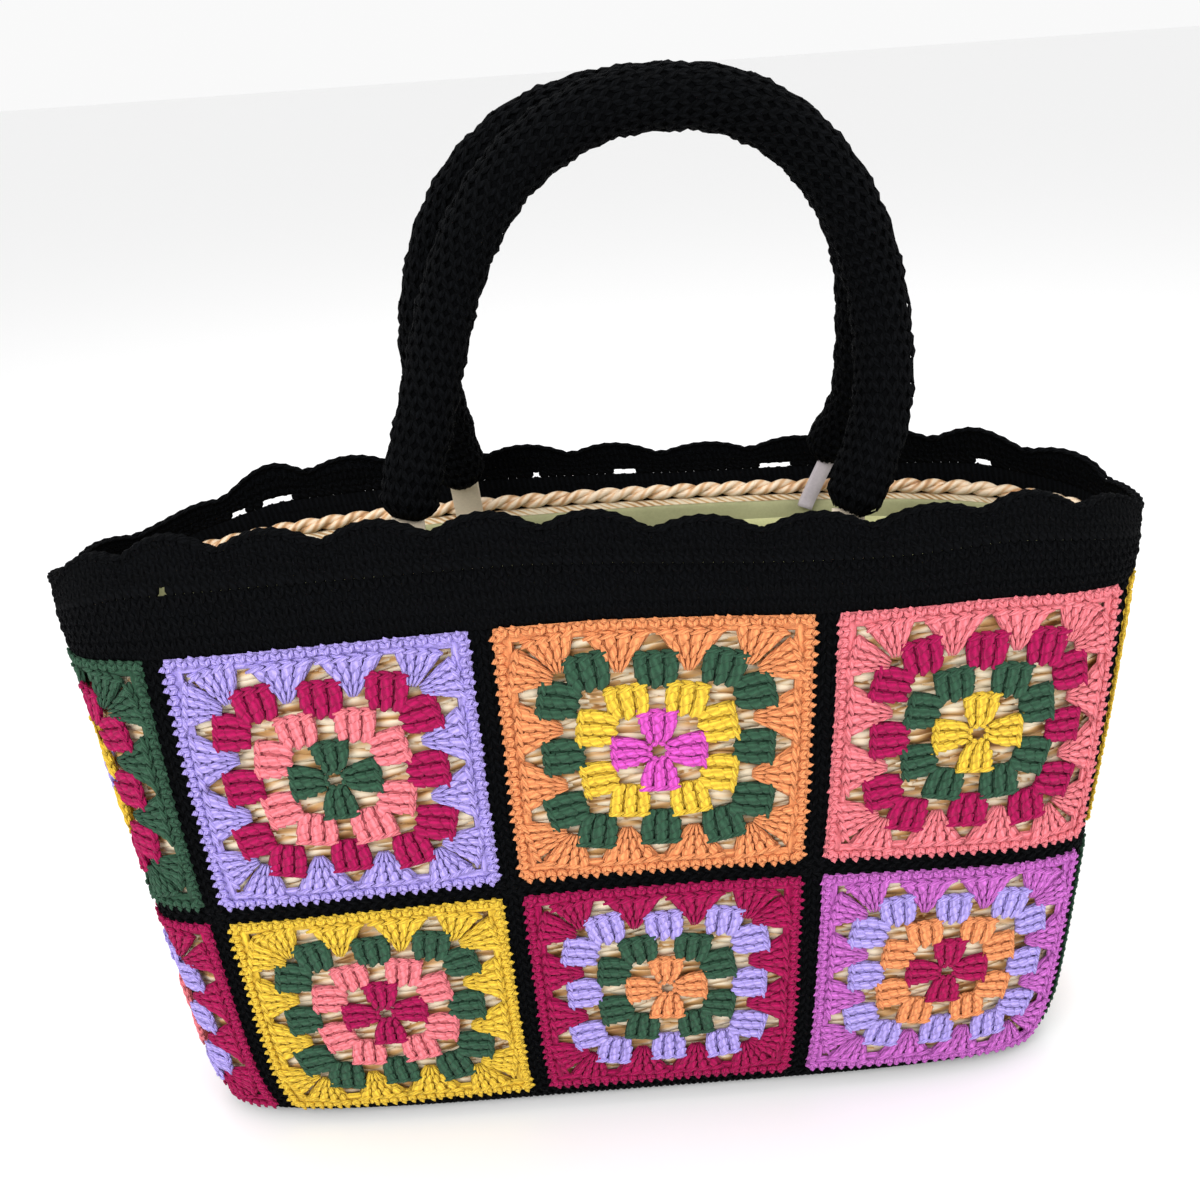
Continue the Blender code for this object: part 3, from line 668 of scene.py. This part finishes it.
CORE = strand("core", 5, 1, 0.85, 0, (0.8, 0.9))
CORD = strand("cord", 5, 11, 0.85, 0, (1.0, 1.0))
LENS = strand("lens", 5, 1, 0.85, 0, (0.45, 0.45))
TOOTH = strand("tooth", 4, 1, 0.9, 0, (1.1, 0.10))
LUMP = strand("lump", 5, 2, 0.8, 0, (0.42, 0.42))
SIDE = 0.1165


def put(piece, node):
    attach(piece, "root")
    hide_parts(node)
    return piece


# Granny squares
def turned(points, quarter):
    c, s = ((1, 0), (0, 1), (-1, 0), (0, -1))[quarter]
    x, y = points[:, 0], points[:, 1]
    return np.stack((x * c - y * s, x * s + y * c, points[:, 2]), 1)


# Clusters on one side of a square: round from the outside in, foot and head, width at foot, waist and head,
# posts and wraps of each post; all sizes are shares of the side
CLUSTERS = (
    (3, (0.000, 0.036), (0.000, 0.152), (0.070, 0.128, 0.132), 3, 3),
    (2, (-0.090, 0.138), (-0.108, 0.254), (0.112, 0.146, 0.136), 3, 3),
    (2, (0.090, 0.138), (0.108, 0.254), (0.112, 0.146, 0.136), 3, 3),
    (1, (-0.205, 0.252), (-0.229, 0.376), (0.112, 0.150, 0.138), 3, 3),
    (1, (0.000, 0.248), (0.000, 0.376), (0.116, 0.150, 0.140), 3, 3),
    (1, (0.205, 0.252), (0.229, 0.376), (0.112, 0.150, 0.138), 3, 3),
    (0, (-0.302, 0.332), (-0.336, 0.458), (0.040, 0.104, 0.170), 4, 3),
    (0, (-0.112, 0.316), (-0.113, 0.458), (0.034, 0.118, 0.212), 4, 3),
    (0, (0.112, 0.316), (0.113, 0.458), (0.034, 0.118, 0.212), 4, 3),
    (0, (0.302, 0.332), (0.336, 0.458), (0.040, 0.104, 0.170), 4, 3),
)


def width_at(widths, v):
    """Width of a cluster from its foot (0) to its head (1), through its waist."""
    foot, waist, head = widths
    return foot * (1 - v) * (1 - 2 * v) + waist * 4 * v * (1 - v) + head * v * (2 * v - 1)


def cluster(foot, head, widths, posts, wraps):
    """Strands of one cluster: a flat core, wrapped posts over it, and the chain across its head."""
    foot = np.array(foot) + hand.randn(2) * 0.0025
    head = np.array(head) + hand.randn(2) * 0.0025
    widths = np.array(widths) * (1 + hand.randn() * 0.03)
    way = head - foot
    side = np.array((way[1], -way[0])) / np.hypot(*way)
    s = (np.arange(posts) + 0.5) / posts - 0.5

    def at(v, across_by):
        return foot + way * np.asarray(v)[:, None] + side * np.asarray(across_by)[:, None]

    def strands(kit, v0, x0, v1, x1, z, wide0, wide1, thick, crown=0.0):
        start = np.c_[at(v0, x0) * SIDE, z]
        end = np.c_[at(v1, x1) * SIDE, z]
        return kit, start, end, wide0 * SIDE, wide1 * SIDE, thick, crown

    ones = np.ones(posts)
    w0, w1 = width_at(widths, 0.0), width_at(widths, 1.0)
    out = [strands(CORE, 0 * s, s * w0, ones, s * w1, ones * 0.0012, ones * w0 / posts * 1.35, ones * w1 / posts * 1.35, 0.0022)]
    k, j = np.meshgrid(np.arange(wraps), np.arange(posts), indexing="ij")
    v = ((k + 0.5) / wraps).ravel()
    s_of = s[j.ravel()]
    reach = 0.66 / wraps
    low, high = np.clip(v - reach, -0.04, 1.04), np.clip(v + reach, -0.04, 1.04)
    wide = width_at(widths, v) / posts
    slant = wide * 0.30
    n = len(v)
    z = 0.0020 + 0.0005 * np.cos(s_of * np.pi) + hand.rand(n) * 0.0004
    fat = wide * (0.92 + hand.rand(n) * 0.12)
    out.append(strands(LENS, low, s_of * width_at(widths, low) - slant, high, s_of * width_at(widths, high) + slant, z, fat, fat, 0.0019))
    gap = w1 / posts
    for lift, v0, v1 in ((0.0030, 0.90, 1.00), (0.0021, 1.05, 0.97)):
        out.append(strands(LENS, ones * v0, s * w1 - gap * 0.58, ones * v1, s * w1 + gap * 0.58, ones * lift, ones * 0.021, ones * 0.021, 0.0022))
    return out


def square(name, column, row, colours):
    batches = []

    def keep(kit, start, end, wide0, wide1, thick, crown, quarter, number):
        z0, z1 = start[:, 2].copy(), end[:, 2].copy()
        start, end = turned(start, quarter), turned(end, quarter)
        start[:, 2], end[:, 2] = z0, z1
        batches.append((kit, lay(kit, start, end, wide0, wide1, thick, crown), number))

    for quarter in range(4):
        for number, foot, head, widths, posts, wraps in CLUSTERS:
            for kit, start, end, wide0, wide1, thick, crown in cluster(foot, head, widths, posts, wraps):
                keep(kit, start, end, wide0, wide1, thick, crown, quarter, number)
        # single crochet edging over two long strands, and the tips that reach into the black
        for y, z, wide in ((0.462, 0.0010, 0.0050), (0.488, 0.0012, 0.0042)):
            start, end = np.array(((-y - 0.01, y, z),)) * (SIDE, SIDE, 1), np.array(((y + 0.01, y, z),)) * (SIDE, SIDE, 1)
            keep(CORD, start, end, wide, wide, 0.0020, 0.0, quarter, 0)
        count = 25
        x = ((np.arange(count) + 0.5) / count - 0.5) * 0.985
        for lean in (-0.40, 0.40):
            y0, y1 = 0.468 + hand.randn(count) * 0.0015, 0.497 + hand.randn(count) * 0.0015
            start = np.c_[x * SIDE, y0 * SIDE, np.full(count, 0.0024)]
            end = np.c_[(x + lean / count) * SIDE, y1 * SIDE, np.full(count, 0.0025)]
            keep(LENS, start, end, 0.0027, 0.0027, 0.0028, 0.0, quarter, 0)
        x = ((np.arange(count) + 0.35 + hand.rand(count) * 0.3) / count - 0.5) * 0.985
        start = np.c_[x * SIDE, np.full(count, 0.494 * SIDE), np.full(count, 0.0026)]
        end = np.c_[(x - 0.006) * SIDE, (0.507 + hand.rand(count) * 0.010) * SIDE, np.full(count, 0.0033)]
        keep(TOOTH, start, end, 0.0026, 0.0026, 0.0016, 0.0, quarter, 0)
    # ring of chain round the middle hole
    turn = np.linspace(0, 2 * math.pi, 9)
    ring = np.stack((np.cos(turn), np.sin(turn), 0 * turn), 1) * 0.034 * SIDE
    ring[:, 2] = 0.0024
    keep(LENS, ring[:-1], ring[1:], 0.0026, 0.0026, 0.0024, 0.0, 0, 3)
    piece = joined("granny_" + name, batches, on_square(column, row), [YARNS[c] for c in colours])
    return put(piece, "square_" + name)


for name, column, row, colours in ROUNDS:
    square(name, column, row, colours)


# Black crochet
def vees(x, y, pitch, rise, fat, lift, along=False):
    """Vee stitches at these places: two strands from the foot outwards to the head."""
    out = []
    for lean in (-0.44, 0.44):
        if along:
            a = np.stack((x, y - rise * 0.5, 0 * x + lift), 1)
            b = np.stack((x + pitch * lean, y + rise * 0.42, 0 * x + lift), 1)
        else:
            a = np.stack((x - rise * 0.5, y, 0 * x + lift), 1)
            b = np.stack((x + rise * 0.42, y + pitch * lean, 0 * x + lift), 1)
        out.append((LENS, lay(LENS, a, b, fat, fat, fat), 0))
    return out


def hoop_between(name, places, low, high, depth_out, depth_in):
    """A closed flat band round the bag, behind the stitches."""
    four = [wall(places, low, depth_out), wall(places, high, depth_out), wall(places, high, depth_in), wall(places, low, depth_in)]
    return hoop(name, np.stack(four, 1), [BLACK])


def top_band():
    rows = 6
    rise = (BAND_TOP - ROW_TOP) * BAG_HEIGHT / rows
    count = 200
    batches = []
    for r in range(rows):
        x = (np.arange(count) + 0.5 * (r % 2) + hand.rand(count) * 0.15) / count * AROUND
        y = ROW_TOP * BAG_HEIGHT + (r + 0.5) * rise + 0.0003 + hand.randn(count) * 0.0002
        batches += vees(x, y, AROUND / count, rise * 1.15, 0.0027, 0.0013 + 0.0004 * (r % 2), along=True)
    band = joined("band_stitches", batches, chart, [BLACK])
    places = np.arange(320) / 320
    full = np.ones(320)
    core = hoop_between("band_core", places, (ROW_TOP + 0.001) * full, BAND_TOP * full, 0.0013 * full, 0.0024 * full)
    return put(merged("crochet_top_band", [band, core]), "top_band")


def joins():
    batches, cores = [], []
    y0, y1 = ROW_LOW * BAG_HEIGHT, ROW_TOP * BAG_HEIGHT
    for k in range(COLUMNS):
        count = 46
        y = y0 + (np.arange(count) + 0.5) * (y1 - y0) / count
        for side in (-1, 1):
            x = seam(k, y / BAG_HEIGHT) * AROUND + side * JOIN_WIDTH * 0.24
            batches += vees(x, y + side * 0.0010, JOIN_WIDTH * 0.54, 0.0050, 0.0026, 0.0012, along=True)
        levels = np.linspace(ROW_LOW, ROW_TOP, 30)
        aside = np.array((-0.46, 0.46)) * JOIN_WIDTH / AROUND
        place = seam(k, levels)[:, None] + aside[None]
        cores.append(patch(f"join_core_{k}", wall(place, levels[:, None] + 0 * place, 0.0024 + 0 * place), 0.0008, [BLACK]))
    count = 190
    x = np.arange(count) / count * AROUND
    for side in (-1, 1):
        y = np.full(count, ROW_MIDDLE * BAG_HEIGHT + side * JOIN_WIDTH * 0.24)
        batches += vees(x + side * 0.0010, y, JOIN_WIDTH * 0.54, 0.0050, 0.0026, 0.0014)
    net = joined("join_stitches", batches, chart, [BLACK])
    places = np.arange(320) / 320
    full = np.ones(320)
    low, high = ROW_MIDDLE - HALF_JOIN * 0.9, ROW_MIDDLE + HALF_JOIN * 0.9
    core = hoop_between("join_core", places, low * full, high * full, 0.0019 * full, 0.0027 * full)
    return put(merged("crochet_joins", [net, core] + cores), "black_joins")


# Open slots over the band: where (in shells round the edge) and half how wide
SLOTS = ((7.47, 0.09), (9.72, 0.15), (11.38, 0.13), (12.42, 0.05), (15.36, 0.15), (15.85, 0.09), (20.44, 0.05))


def shell_place(q):
    """Place round the bag of a point q shells along the scalloped edge."""
    at = q / SHELLS
    return at + (0.15 + 0.04 * (1 - np.cos(2 * np.pi * at))) / COLUMNS


def shell_top(q):
    return np.sin(np.pi * (q % 1.0)) ** 0.85


def shells():
    foot = BAND_TOP * BAG_HEIGHT + 0.0004
    sill = foot + EYELET_RISE
    batches = []
    per = 8
    uneven = hand.rand(SHELLS) * 0.0022

    def free_edge(q):
        k = np.floor(q).astype(int) % SHELLS
        return BAG_HEIGHT - SHELL_RISE * (1 - shell_top(q)) - uneven[k] * shell_top(q)

    rows = 4
    for r in range(rows):
        q = (np.arange(SHELLS * per) + 0.5 * (r % 2) + 0.25) / per + hand.randn(SHELLS * per) * 0.006
        for lean in (-0.46, 0.46):
            base, head = r / rows, (r + 1.1) / rows
            tops = free_edge(q + lean / per) - 0.0012
            a = np.stack((shell_place(q) * AROUND, sill + (free_edge(q) - sill) * base, 0 * q + 0.0014), 1)
            b = np.stack((shell_place(q + lean / per) * AROUND, sill + (tops - sill) * head, 0 * q + 0.0014 + 0.0005 * (r % 2)), 1)
            batches.append((LENS, lay(LENS, a, b, 0.0030, 0.0030, 0.0034), 0))
    # knobbly loops along the free edge
    q = np.arange(SHELLS * per) / per

    def on_edge(at, lift):
        return np.stack((shell_place(at) * AROUND, free_edge(at) - 0.0008 + 0 * at, 0 * at + lift), 1)

    for lift, shift in ((0.0006, 0.0), (0.0024, 0.4 / per)):
        batches.append((LENS, lay(LENS, on_edge(q + shift - 0.01, lift), on_edge(q + shift + 1.05 / per, lift), 0.0031, 0.0031, 0.0028), 0))
    # posts over the band, left out at the open slots
    count = SHELLS * 11
    q = (np.arange(count) + 0.5) / 11
    shut = np.ones(count, bool)
    for middle, half in SLOTS:
        shut &= np.abs(q - middle) > half
    q = q[shut]
    a = np.stack((shell_place(q - 0.008) * AROUND, 0 * q + foot - 0.0010, 0 * q + 0.0014), 1)
    b = np.stack((shell_place(q + 0.008) * AROUND, 0 * q + sill + 0.0020, 0 * q + 0.0014), 1)
    batches.append((LUMP, lay(LUMP, a, b, 0.0052, 0.0052, 0.0028), 0))
    edge = joined("shell_stitches", batches, chart, [BLACK])
    n = 400
    at = np.arange(n) / n * SHELLS
    full = np.ones(n)
    high = (free_edge(at) - 0.0012) / BAG_HEIGHT
    core = hoop_between("shell_core", shell_place(at), full * (sill + 0.0002) / BAG_HEIGHT, high, 0.0010 * full, 0.0021 * full)
    return put(merged("crochet_shell_edge", [edge, core]), "shell_edge")


def level_ring(level, depth, n, offset=0.0):
    """A ring on the wall, drawn in towards the middle line by an offset."""
    ring = wall(np.arange(n) / n, np.full(n, level), np.full(n, depth))
    if offset:
        half = np.abs(ring).max(0)
        ring[:, 0] *= max(half[0] - offset, 0.0005) / half[0]
        ring[:, 1] *= max(half[1] - offset, 0.0005) / half[1]
    return ring


def base():
    count = 170
    batches = []
    rise = ROW_LOW * BAG_HEIGHT / 3
    for r in range(3):
        x = (np.arange(count) + 0.5 * (r % 2)) / count * AROUND
        y = np.full(count, (r + 0.5) * rise + (0.0007 if r == 0 else 0.0))
        batches += vees(x, y, AROUND / count, rise * (0.9 if r == 0 else 1.1), 0.0023, 0.0014, along=True)
    sides = joined("base_stitches", batches, chart, [BLACK])
    n = 128
    loops = []
    rounds = 10
    for k in range(rounds * 4):
        d = k / (rounds * 4) * 0.0435
        ring = level_ring(0.0, 0.0010, n, d)
        ring[:, 2] = 0.0005 * (0.5 + 0.5 * math.cos(k / 4 * 2 * math.pi)) + 0.0001
        loops.append(ring)
    loops = loops[::-1]
    loops[0][:, :2] *= 0.3
    loops.append(level_ring(ROW_LOW - 0.0015, 0.0010, n))
    loops.append(level_ring(ROW_LOW - 0.0015, 0.0024, n))
    inner = level_ring(0.006, 0.0024, n)
    loops.append(inner)
    last = inner.copy()
    last[:, :2] *= 0.02
    loops.append(last)
    under = sleeve("base_under", loops, [BLACK])
    return put(merged("crochet_base", [sides, under]), "base_panel")


top_band()
joins()
shells()
base()


# Straw
def basket():
    n = 220
    out = [level_ring(l, BASKET_OUT + 0.0014, n) for l in (BASKET_TOP, ROW_TOP, 0.7, 0.56, 0.44, 0.3, 0.17, 0.09, ROW_LOW, 0.02)]
    under = level_ring(0.0, BASKET_OUT + 0.0014, n)
    under[:, 2] = BASKET_OUT + 0.0008
    floor_out = under.copy()
    floor_out[:, :2] *= 0.02
    inside = [level_ring(l, BASKET_IN, n) for l in (0.02, ROW_LOW, 0.09, 0.17, 0.3, 0.44, 0.56, 0.7, ROW_TOP, BASKET_TOP)]
    floor = level_ring(0.0, BASKET_IN, n)
    floor[:, 2] = BASKET_IN
    floor_in = floor.copy()
    floor_in[:, :2] *= 0.02
    stack = [floor_out, under] + out[::-1] + inside[::-1] + [floor, floor_in]
    shell = sleeve("basket_shell", stack, [STRAW], (140.0, 60.0))
    batches = []
    rise = 0.0078
    first = ROW_LOW * BAG_HEIGHT
    rows = int((ROW_TOP - ROW_LOW) * BAG_HEIGHT / rise)
    for r in range(rows):
        level = first + (r + 0.5) * rise
        count = 46
        x = (np.arange(count) + 0.5 * (r % 2) + hand.rand(count) * 0.3) / count * AROUND
        tilt = 0.0013 * (1 if r % 2 else -1) + hand.randn(count) * 0.0006
        for part in (-1, 1):
            wave = hand.randn(count) * 0.0004
            a = np.stack((x - 0.0135, level - tilt + part * 0.0019, 0 * x), 1)
            b = np.stack((x + 0.0135, level + tilt + part * 0.0019 + wave, 0 * x), 1)
            a[:, 2] = b[:, 2] = CROCHET - BASKET_OUT - 0.0012
            batches.append((LENS, lay(LENS, a, b, 0.0056, 0.0056, 0.0038), 0))
    strands = joined("basket_strands", batches, chart, [STRAW])
    return put(merged("woven_straw_basket", [shell, strands]), "straw_basket")


def helix(line, side, up, radius, offset, turns, phase, sides, steps):
    """One strand of a twisted rope along a closed line of points."""
    rings_of = []
    k = np.arange(steps)
    at = k / steps * len(line)
    i = np.floor(at).astype(int) % len(line)
    f = (at - np.floor(at))[:, None]
    mid = line[i] * (1 - f) + line[(i + 1) % len(line)] * f
    s = side[i] * (1 - f) + side[(i + 1) % len(line)] * f
    u = up[i] * (1 - f) + up[(i + 1) % len(line)] * f
    angle = 2 * np.pi * turns * k / steps + phase
    centre = mid + offset * (np.cos(angle)[:, None] * s + np.sin(angle)[:, None] * u)
    ahead = np.roll(centre, -1, 0) - np.roll(centre, 1, 0)
    ahead /= np.linalg.norm(ahead, axis=1, keepdims=True)
    n1 = np.cross(ahead, u)
    n1 /= np.linalg.norm(n1, axis=1, keepdims=True)
    n2 = np.cross(ahead, n1)
    for j in range(sides):
        b = 2 * np.pi * j / sides
        rings_of.append(centre + radius * (math.cos(b) * n1 + math.sin(b) * n2))
    return np.stack(rings_of, 1)


def rope():
    n = 480
    places = np.arange(n) / n
    depth = 0.0067
    line = wall(places, np.full(n, BASKET_TOP), np.full(n, depth))
    top = np.maximum(wall(places, np.full(n, BASKET_TOP), np.full(n, BASKET_OUT))[:, 2], wall(places, np.full(n, BASKET_TOP), np.full(n, BASKET_IN))[:, 2])
    line[:, 2] = top + 0.0037
    out = line - wall(places, np.full(n, BASKET_TOP), np.full(n, depth + 0.002))
    out[:, 2] = 0
    out /= np.linalg.norm(out, axis=1, keepdims=True)
    up = np.tile(np.array((0, 0, 1.0)), (n, 1))
    strands = []
    for k in range(2):
        points = helix(line, out, up, 0.00205, 0.0016, 44, k * math.pi, 7, 44 * 14)
        strands.append(hoop(f"rope_{k}", points, [ROPE], (88.0, 1.0)))
    return put(merged("plaited_straw_rim", strands), "straw_rim")


basket()
rope()


# Cloth
def ripple(place, level):
    """Gathers of the lining: how far it stands in from the straw."""
    a = np.asarray(place) * 2 * np.pi
    wave = 0.5 + 0.5 * np.sin(29 * a + 2.0 * np.sin(5 * a) + 5 * np.asarray(level))
    slow = 0.5 + 0.5 * np.sin(9 * a + 1.3 + 3 * np.asarray(level))
    return 0.0013 * wave * slow + 0.0010 * slow


def lining():
    n = 300
    places = np.arange(n) / n
    levels = np.concatenate((np.linspace(LINING_TOP, LINING_TOP - 0.02, 5), np.linspace(0.80, 0.1, 20), (ROW_LOW, 0.02)))
    far, near = [], []
    for level in levels:
        r = ripple(places, np.full(n, level)) * min(1.0, (LINING_TOP - level) * 40 + 0.35)
        hem = 0.0005 if LINING_TOP - 0.001 > level > LINING_TOP - 0.021 else 0.0
        far.append(wall(places, np.full(n, level), LINING_OUT + r - 0.0002))
        near.append(wall(places, np.full(n, level), LINING_OUT + r + 0.0008 + hem))
    floor_far = level_ring(0.0, LINING_OUT, n)
    floor_far[:, 2] = LINING_OUT
    floor_near = level_ring(0.0, LINING_IN, n)
    floor_near[:, 2] = LINING_IN
    mid_far, mid_near = floor_far.copy(), floor_near.copy()
    mid_far[:, :2] *= 0.02
    mid_near[:, :2] *= 0.02
    stack = [mid_far, floor_far] + far[::-1] + near + [floor_near, mid_near]
    piece = put(sleeve("cotton_lining", stack, [SAGE]), "lining")
    return piece


def pocket():
    rows, cols = 22, 34
    u = np.linspace(2.652 + 0.985 * 0.17, 2.652 + 0.985 * 0.98, cols) / COLUMNS
    v = np.linspace(POCKET_TOP, POCKET_TOP - POCKET_DEPTH / BAG_HEIGHT, rows)
    uu, vv = np.meshgrid(u, v)
    s = (uu - u[0]) / (u[-1] - u[0])
    t = np.linspace(0, 1, rows)[:, None] + 0 * s
    drape = 0.0012 * np.exp(-(((s - 0.42 - 0.5 * t) / 0.07) ** 2)) * (1 - t) + 0.0006 * np.sin(9 * s + 4 * t) * (1 - t)
    depth = LINING_IN + 0.0026 + drape
    edge = (t < 0.06) * 0.0004
    piece = patch("cotton_pocket", wall(uu, vv, depth + 0.0004 + edge), 0.0008, [PALE])
    put(piece, "inner_pocket")
    return piece


lining()
pocket()


# Handles and their webbing
def centre_line(table, way, count):
    """Evenly spaced points on the smooth curve through a handle's rows."""
    together = TUBE_RADIUS + 0.0013 / 2
    apart = HALF_DEPTH - CROCHET - 0.0049 - TUBE_RADIUS
    a, lean, up = np.array(table).T
    knots = np.stack((0.02 + a * 0.09, way * (together + lean * (apart - together)), BAG_HEIGHT + up * 0.13), 1)
    fine = []
    for i in range(len(knots) - 1):
        p0, p1, p2, p3 = knots[max(i - 1, 0)], knots[i], knots[i + 1], knots[min(i + 2, len(knots) - 1)]
        for t in np.linspace(0, 1, 12, endpoint=False):
            fine.append(0.5 * (2 * p1 + (p2 - p0) * t + (2 * p0 - 5 * p1 + 4 * p2 - p3) * t**2 + (3 * p1 - p0 - 3 * p2 + p3) * t**3))
    fine.append(knots[-1])
    fine = np.array(fine)
    run = np.concatenate(([0.0], np.cumsum(np.linalg.norm(np.diff(fine, axis=0), axis=1))))
    even = np.linspace(0, run[-1], count)
    return np.stack([np.interp(even, run, fine[:, k]) for k in range(3)], 1), float(run[-1])


def handle(name, table, way, node):
    line, length = centre_line(table, way, 200)
    ahead = np.gradient(line, axis=0)
    ahead /= np.linalg.norm(ahead, axis=1, keepdims=True)
    n1 = [np.cross(ahead[0], (0, 1.0, 0))]
    for t in ahead[1:]:
        v = n1[-1] - t * np.dot(n1[-1], t)
        n1.append(v / np.linalg.norm(v))
    n1 = np.array(n1)
    n1[0] /= np.linalg.norm(n1[0])
    n2 = np.cross(ahead, n1)
    core_radius = TUBE_RADIUS - 0.0010
    phase = 1.0 + way

    def on_tube(points):
        at = np.clip(points[:, 1] / length, 0, 1) * (len(line) - 1)
        i = np.clip(np.floor(at).astype(int), 0, len(line) - 2)
        f = (at - i)[:, None]
        mid = line[i] * (1 - f) + line[i + 1] * f
        beyond = points[:, 1] - np.clip(points[:, 1], 0, length)
        a = n1[i] * (1 - f) + n1[i + 1] * f
        b = n2[i] * (1 - f) + n2[i + 1] * f
        t = ahead[i] * (1 - f) + ahead[i + 1] * f
        end = np.minimum(points[:, 1], length - points[:, 1])
        shrink = np.sqrt(np.clip(1 - (1 - np.clip(end / 0.007, 0, 1)) ** 2, 0.25, 1))
        angle = points[:, 0] / core_radius
        uneven = 0.00035 * np.sin(points[:, 1] * 420 + phase) + 0.00025 * np.sin(points[:, 1] * 1130 + 2 * angle)
        radius = (core_radius + uneven + points[:, 2]) * shrink
        return mid + t * beyond[:, None] + radius[:, None] * (np.cos(angle)[:, None] * a + np.sin(angle)[:, None] * b)

    per = 15
    rows = int(length / 0.0045)
    pitch = 2 * np.pi * core_radius / per
    r, c = np.meshgrid(np.arange(rows), np.arange(per), indexing="ij")
    x = ((c + 0.5 * (r % 2)) * pitch).ravel()
    y = ((r + 0.5) * length / rows).ravel()
    batches = []
    for lean in (-0.44, 0.44):
        lift = 0.0003 + hand.rand(len(x)) * 0.0003
        a = np.stack((x, y - 0.0022, lift), 1)
        b = np.stack((x + pitch * lean, y + 0.0026, lift + 0.0001), 1)
        batches.append((LENS, lay(LENS, a, b, 0.0028, 0.0028, 0.0017), 0))
    cover = joined(name + "_stitches", batches, on_tube, [BLACK])
    sides = 18
    steps = 70
    ring = np.stack(np.meshgrid(np.arange(sides) / sides * 2 * np.pi * core_radius, np.linspace(0.0, length, steps)), 2)
    ring = np.concatenate((ring.transpose(0, 1, 2), np.zeros((steps, sides, 1))), 2)
    core = sleeve(name + "_core", on_tube(ring.reshape(-1, 3)).reshape(steps, sides, 3), [BLACK])
    piece = put(merged(name, [cover, core]), node)
    return line


front_line = handle("padded_handle_front", FRONT_HANDLE, -1, "handle_front")
back_line = handle("padded_handle_back", BACK_HANDLE, 1, "handle_back")


def strap(name, line, aside, wide, thick, drop, finish, node):
    """A woven tape end from inside the handle's leg, past the plaited rim, down the lining."""
    end = line[0]
    way = line[0] - line[3]
    way /= np.linalg.norm(way)
    top = end - way * 0.001
    around = AROUND_AT[int(BASKET_TOP * (LEVELS - 1))]
    place = top[0] / around if top[1] < 0 else 0.5 - top[0] / around
    by_rope = wall(place, BASKET_TOP, 0.0067 + 0.0040 + thick / 2)
    by_lining = wall(place, LINING_TOP, LINING_IN + 0.0019 + thick / 2)
    share = (top[2] - wall(place, BASKET_TOP, 0.0)[2]) / drop
    marks = np.array((top, (top[0] + aside * share, by_rope[1], top[2] - drop * share), (top[0] + aside, by_lining[1], top[2] - drop)))
    s = np.linspace(0, 1, 15)
    key = np.array((0.0, share, 1.0))
    path = np.stack([np.interp(s, key, marks[:, k]) for k in range(3)], 1)
    path[1:-1] = (path[:-2] + path[1:-1] * 2 + path[2:]) / 4
    ahead = np.gradient(path, axis=0)
    ahead /= np.linalg.norm(ahead, axis=1, keepdims=True)
    corners = []
    for u, v in ((-1, -0.6), (-0.9, -1), (0.9, -1), (1, -0.6), (1, 0.6), (0.9, 1), (-0.9, 1), (-1, 0.6)):
        side = np.tile((1.0, 0, 0), (15, 1)) - ahead * ahead[:, 0:1]
        side /= np.linalg.norm(side, axis=1, keepdims=True)
        flat = np.cross(ahead, side)
        corners.append(path + side * (u * wide / 2) + flat * (v * thick / 2))
    piece = sleeve(name, np.stack(corners, 1), [finish], (1.0, 5.0))
    return put(piece, node)


strap("tape_front_left", front_line, 0.001, 0.0125, 0.0022, 0.050, CREAM, "strap_front_left")
strap("tape_front_right", front_line[::-1], -0.002, 0.0125, 0.0022, 0.050, CREAM, "strap_front_right")
strap("tape_back_left", back_line, 0.001, 0.0125, 0.0022, 0.050, CREAM, "strap_back_left")
strap("tape_back_right", back_line[::-1], -0.010, 0.0065, 0.0044, 0.0245, GREY, "strap_back_right")

# Floor, light and camera
alone()
bpy.ops.mesh.primitive_plane_add(size=60.0, location=(0, 0, -0.0001))
floor = bpy.context.object
floor.name = "floor"
pale, nodes, links, shader = fresh("pale_floor")
shader.inputs["Base Color"].default_value = (0.93, 0.93, 0.93, 1)
shader.inputs["Roughness"].default_value = 0.9
floor.data.materials.append(pale)

world = bpy.data.worlds.new("studio")
bpy.context.scene.world = world
world.use_nodes = True
world.node_tree.nodes["Background"].inputs["Color"].default_value = (1.0, 1.0, 1.0, 1)
world.node_tree.nodes["Background"].inputs["Strength"].default_value = 0.95
bpy.context.scene.view_settings.view_transform = "Standard"


def lamp(name, place, aim, size, power):
    light = bpy.data.lights.new(name, "AREA")
    light.size = size
    light.energy = power
    thing = bpy.data.objects.new(name, light)
    bpy.context.scene.collection.objects.link(thing)
    thing.location = place
    way = np.array(aim, float) - np.array(place, float)
    thing.rotation_euler = Vector(way).to_track_quat("-Z", "Y").to_euler()


lamp("key", (-0.7, -1.2, 1.3), (0, 0, 0.15), 0.9, 16)
lamp("fill", (1.2, -1.0, 0.9), (0, 0, 0.15), 1.0, 6)
lamp("top", (0.0, 0.3, 1.6), (0, 0, 0.2), 1.2, 8)

lens = bpy.data.cameras.new("photo")
lens.lens = 36.0
lens.sensor_width = 36.0
lens.clip_start = 0.01
camera = bpy.data.objects.new("photo", lens)
bpy.context.scene.collection.objects.link(camera)
right = (0.9972, -0.0384, -0.0647)
down = (-0.0748, -0.4159, -0.9063)
ahead = (0.0079, 0.9086, -0.4176)
turn = Matrix((right, [-d for d in down], [-a for a in ahead])).transposed()
camera.matrix_world = Matrix.Translation((-0.004939, -0.468519, 0.453961)) @ turn.to_4x4()
bpy.context.scene.camera = camera

bpy.context.view_layer.update()
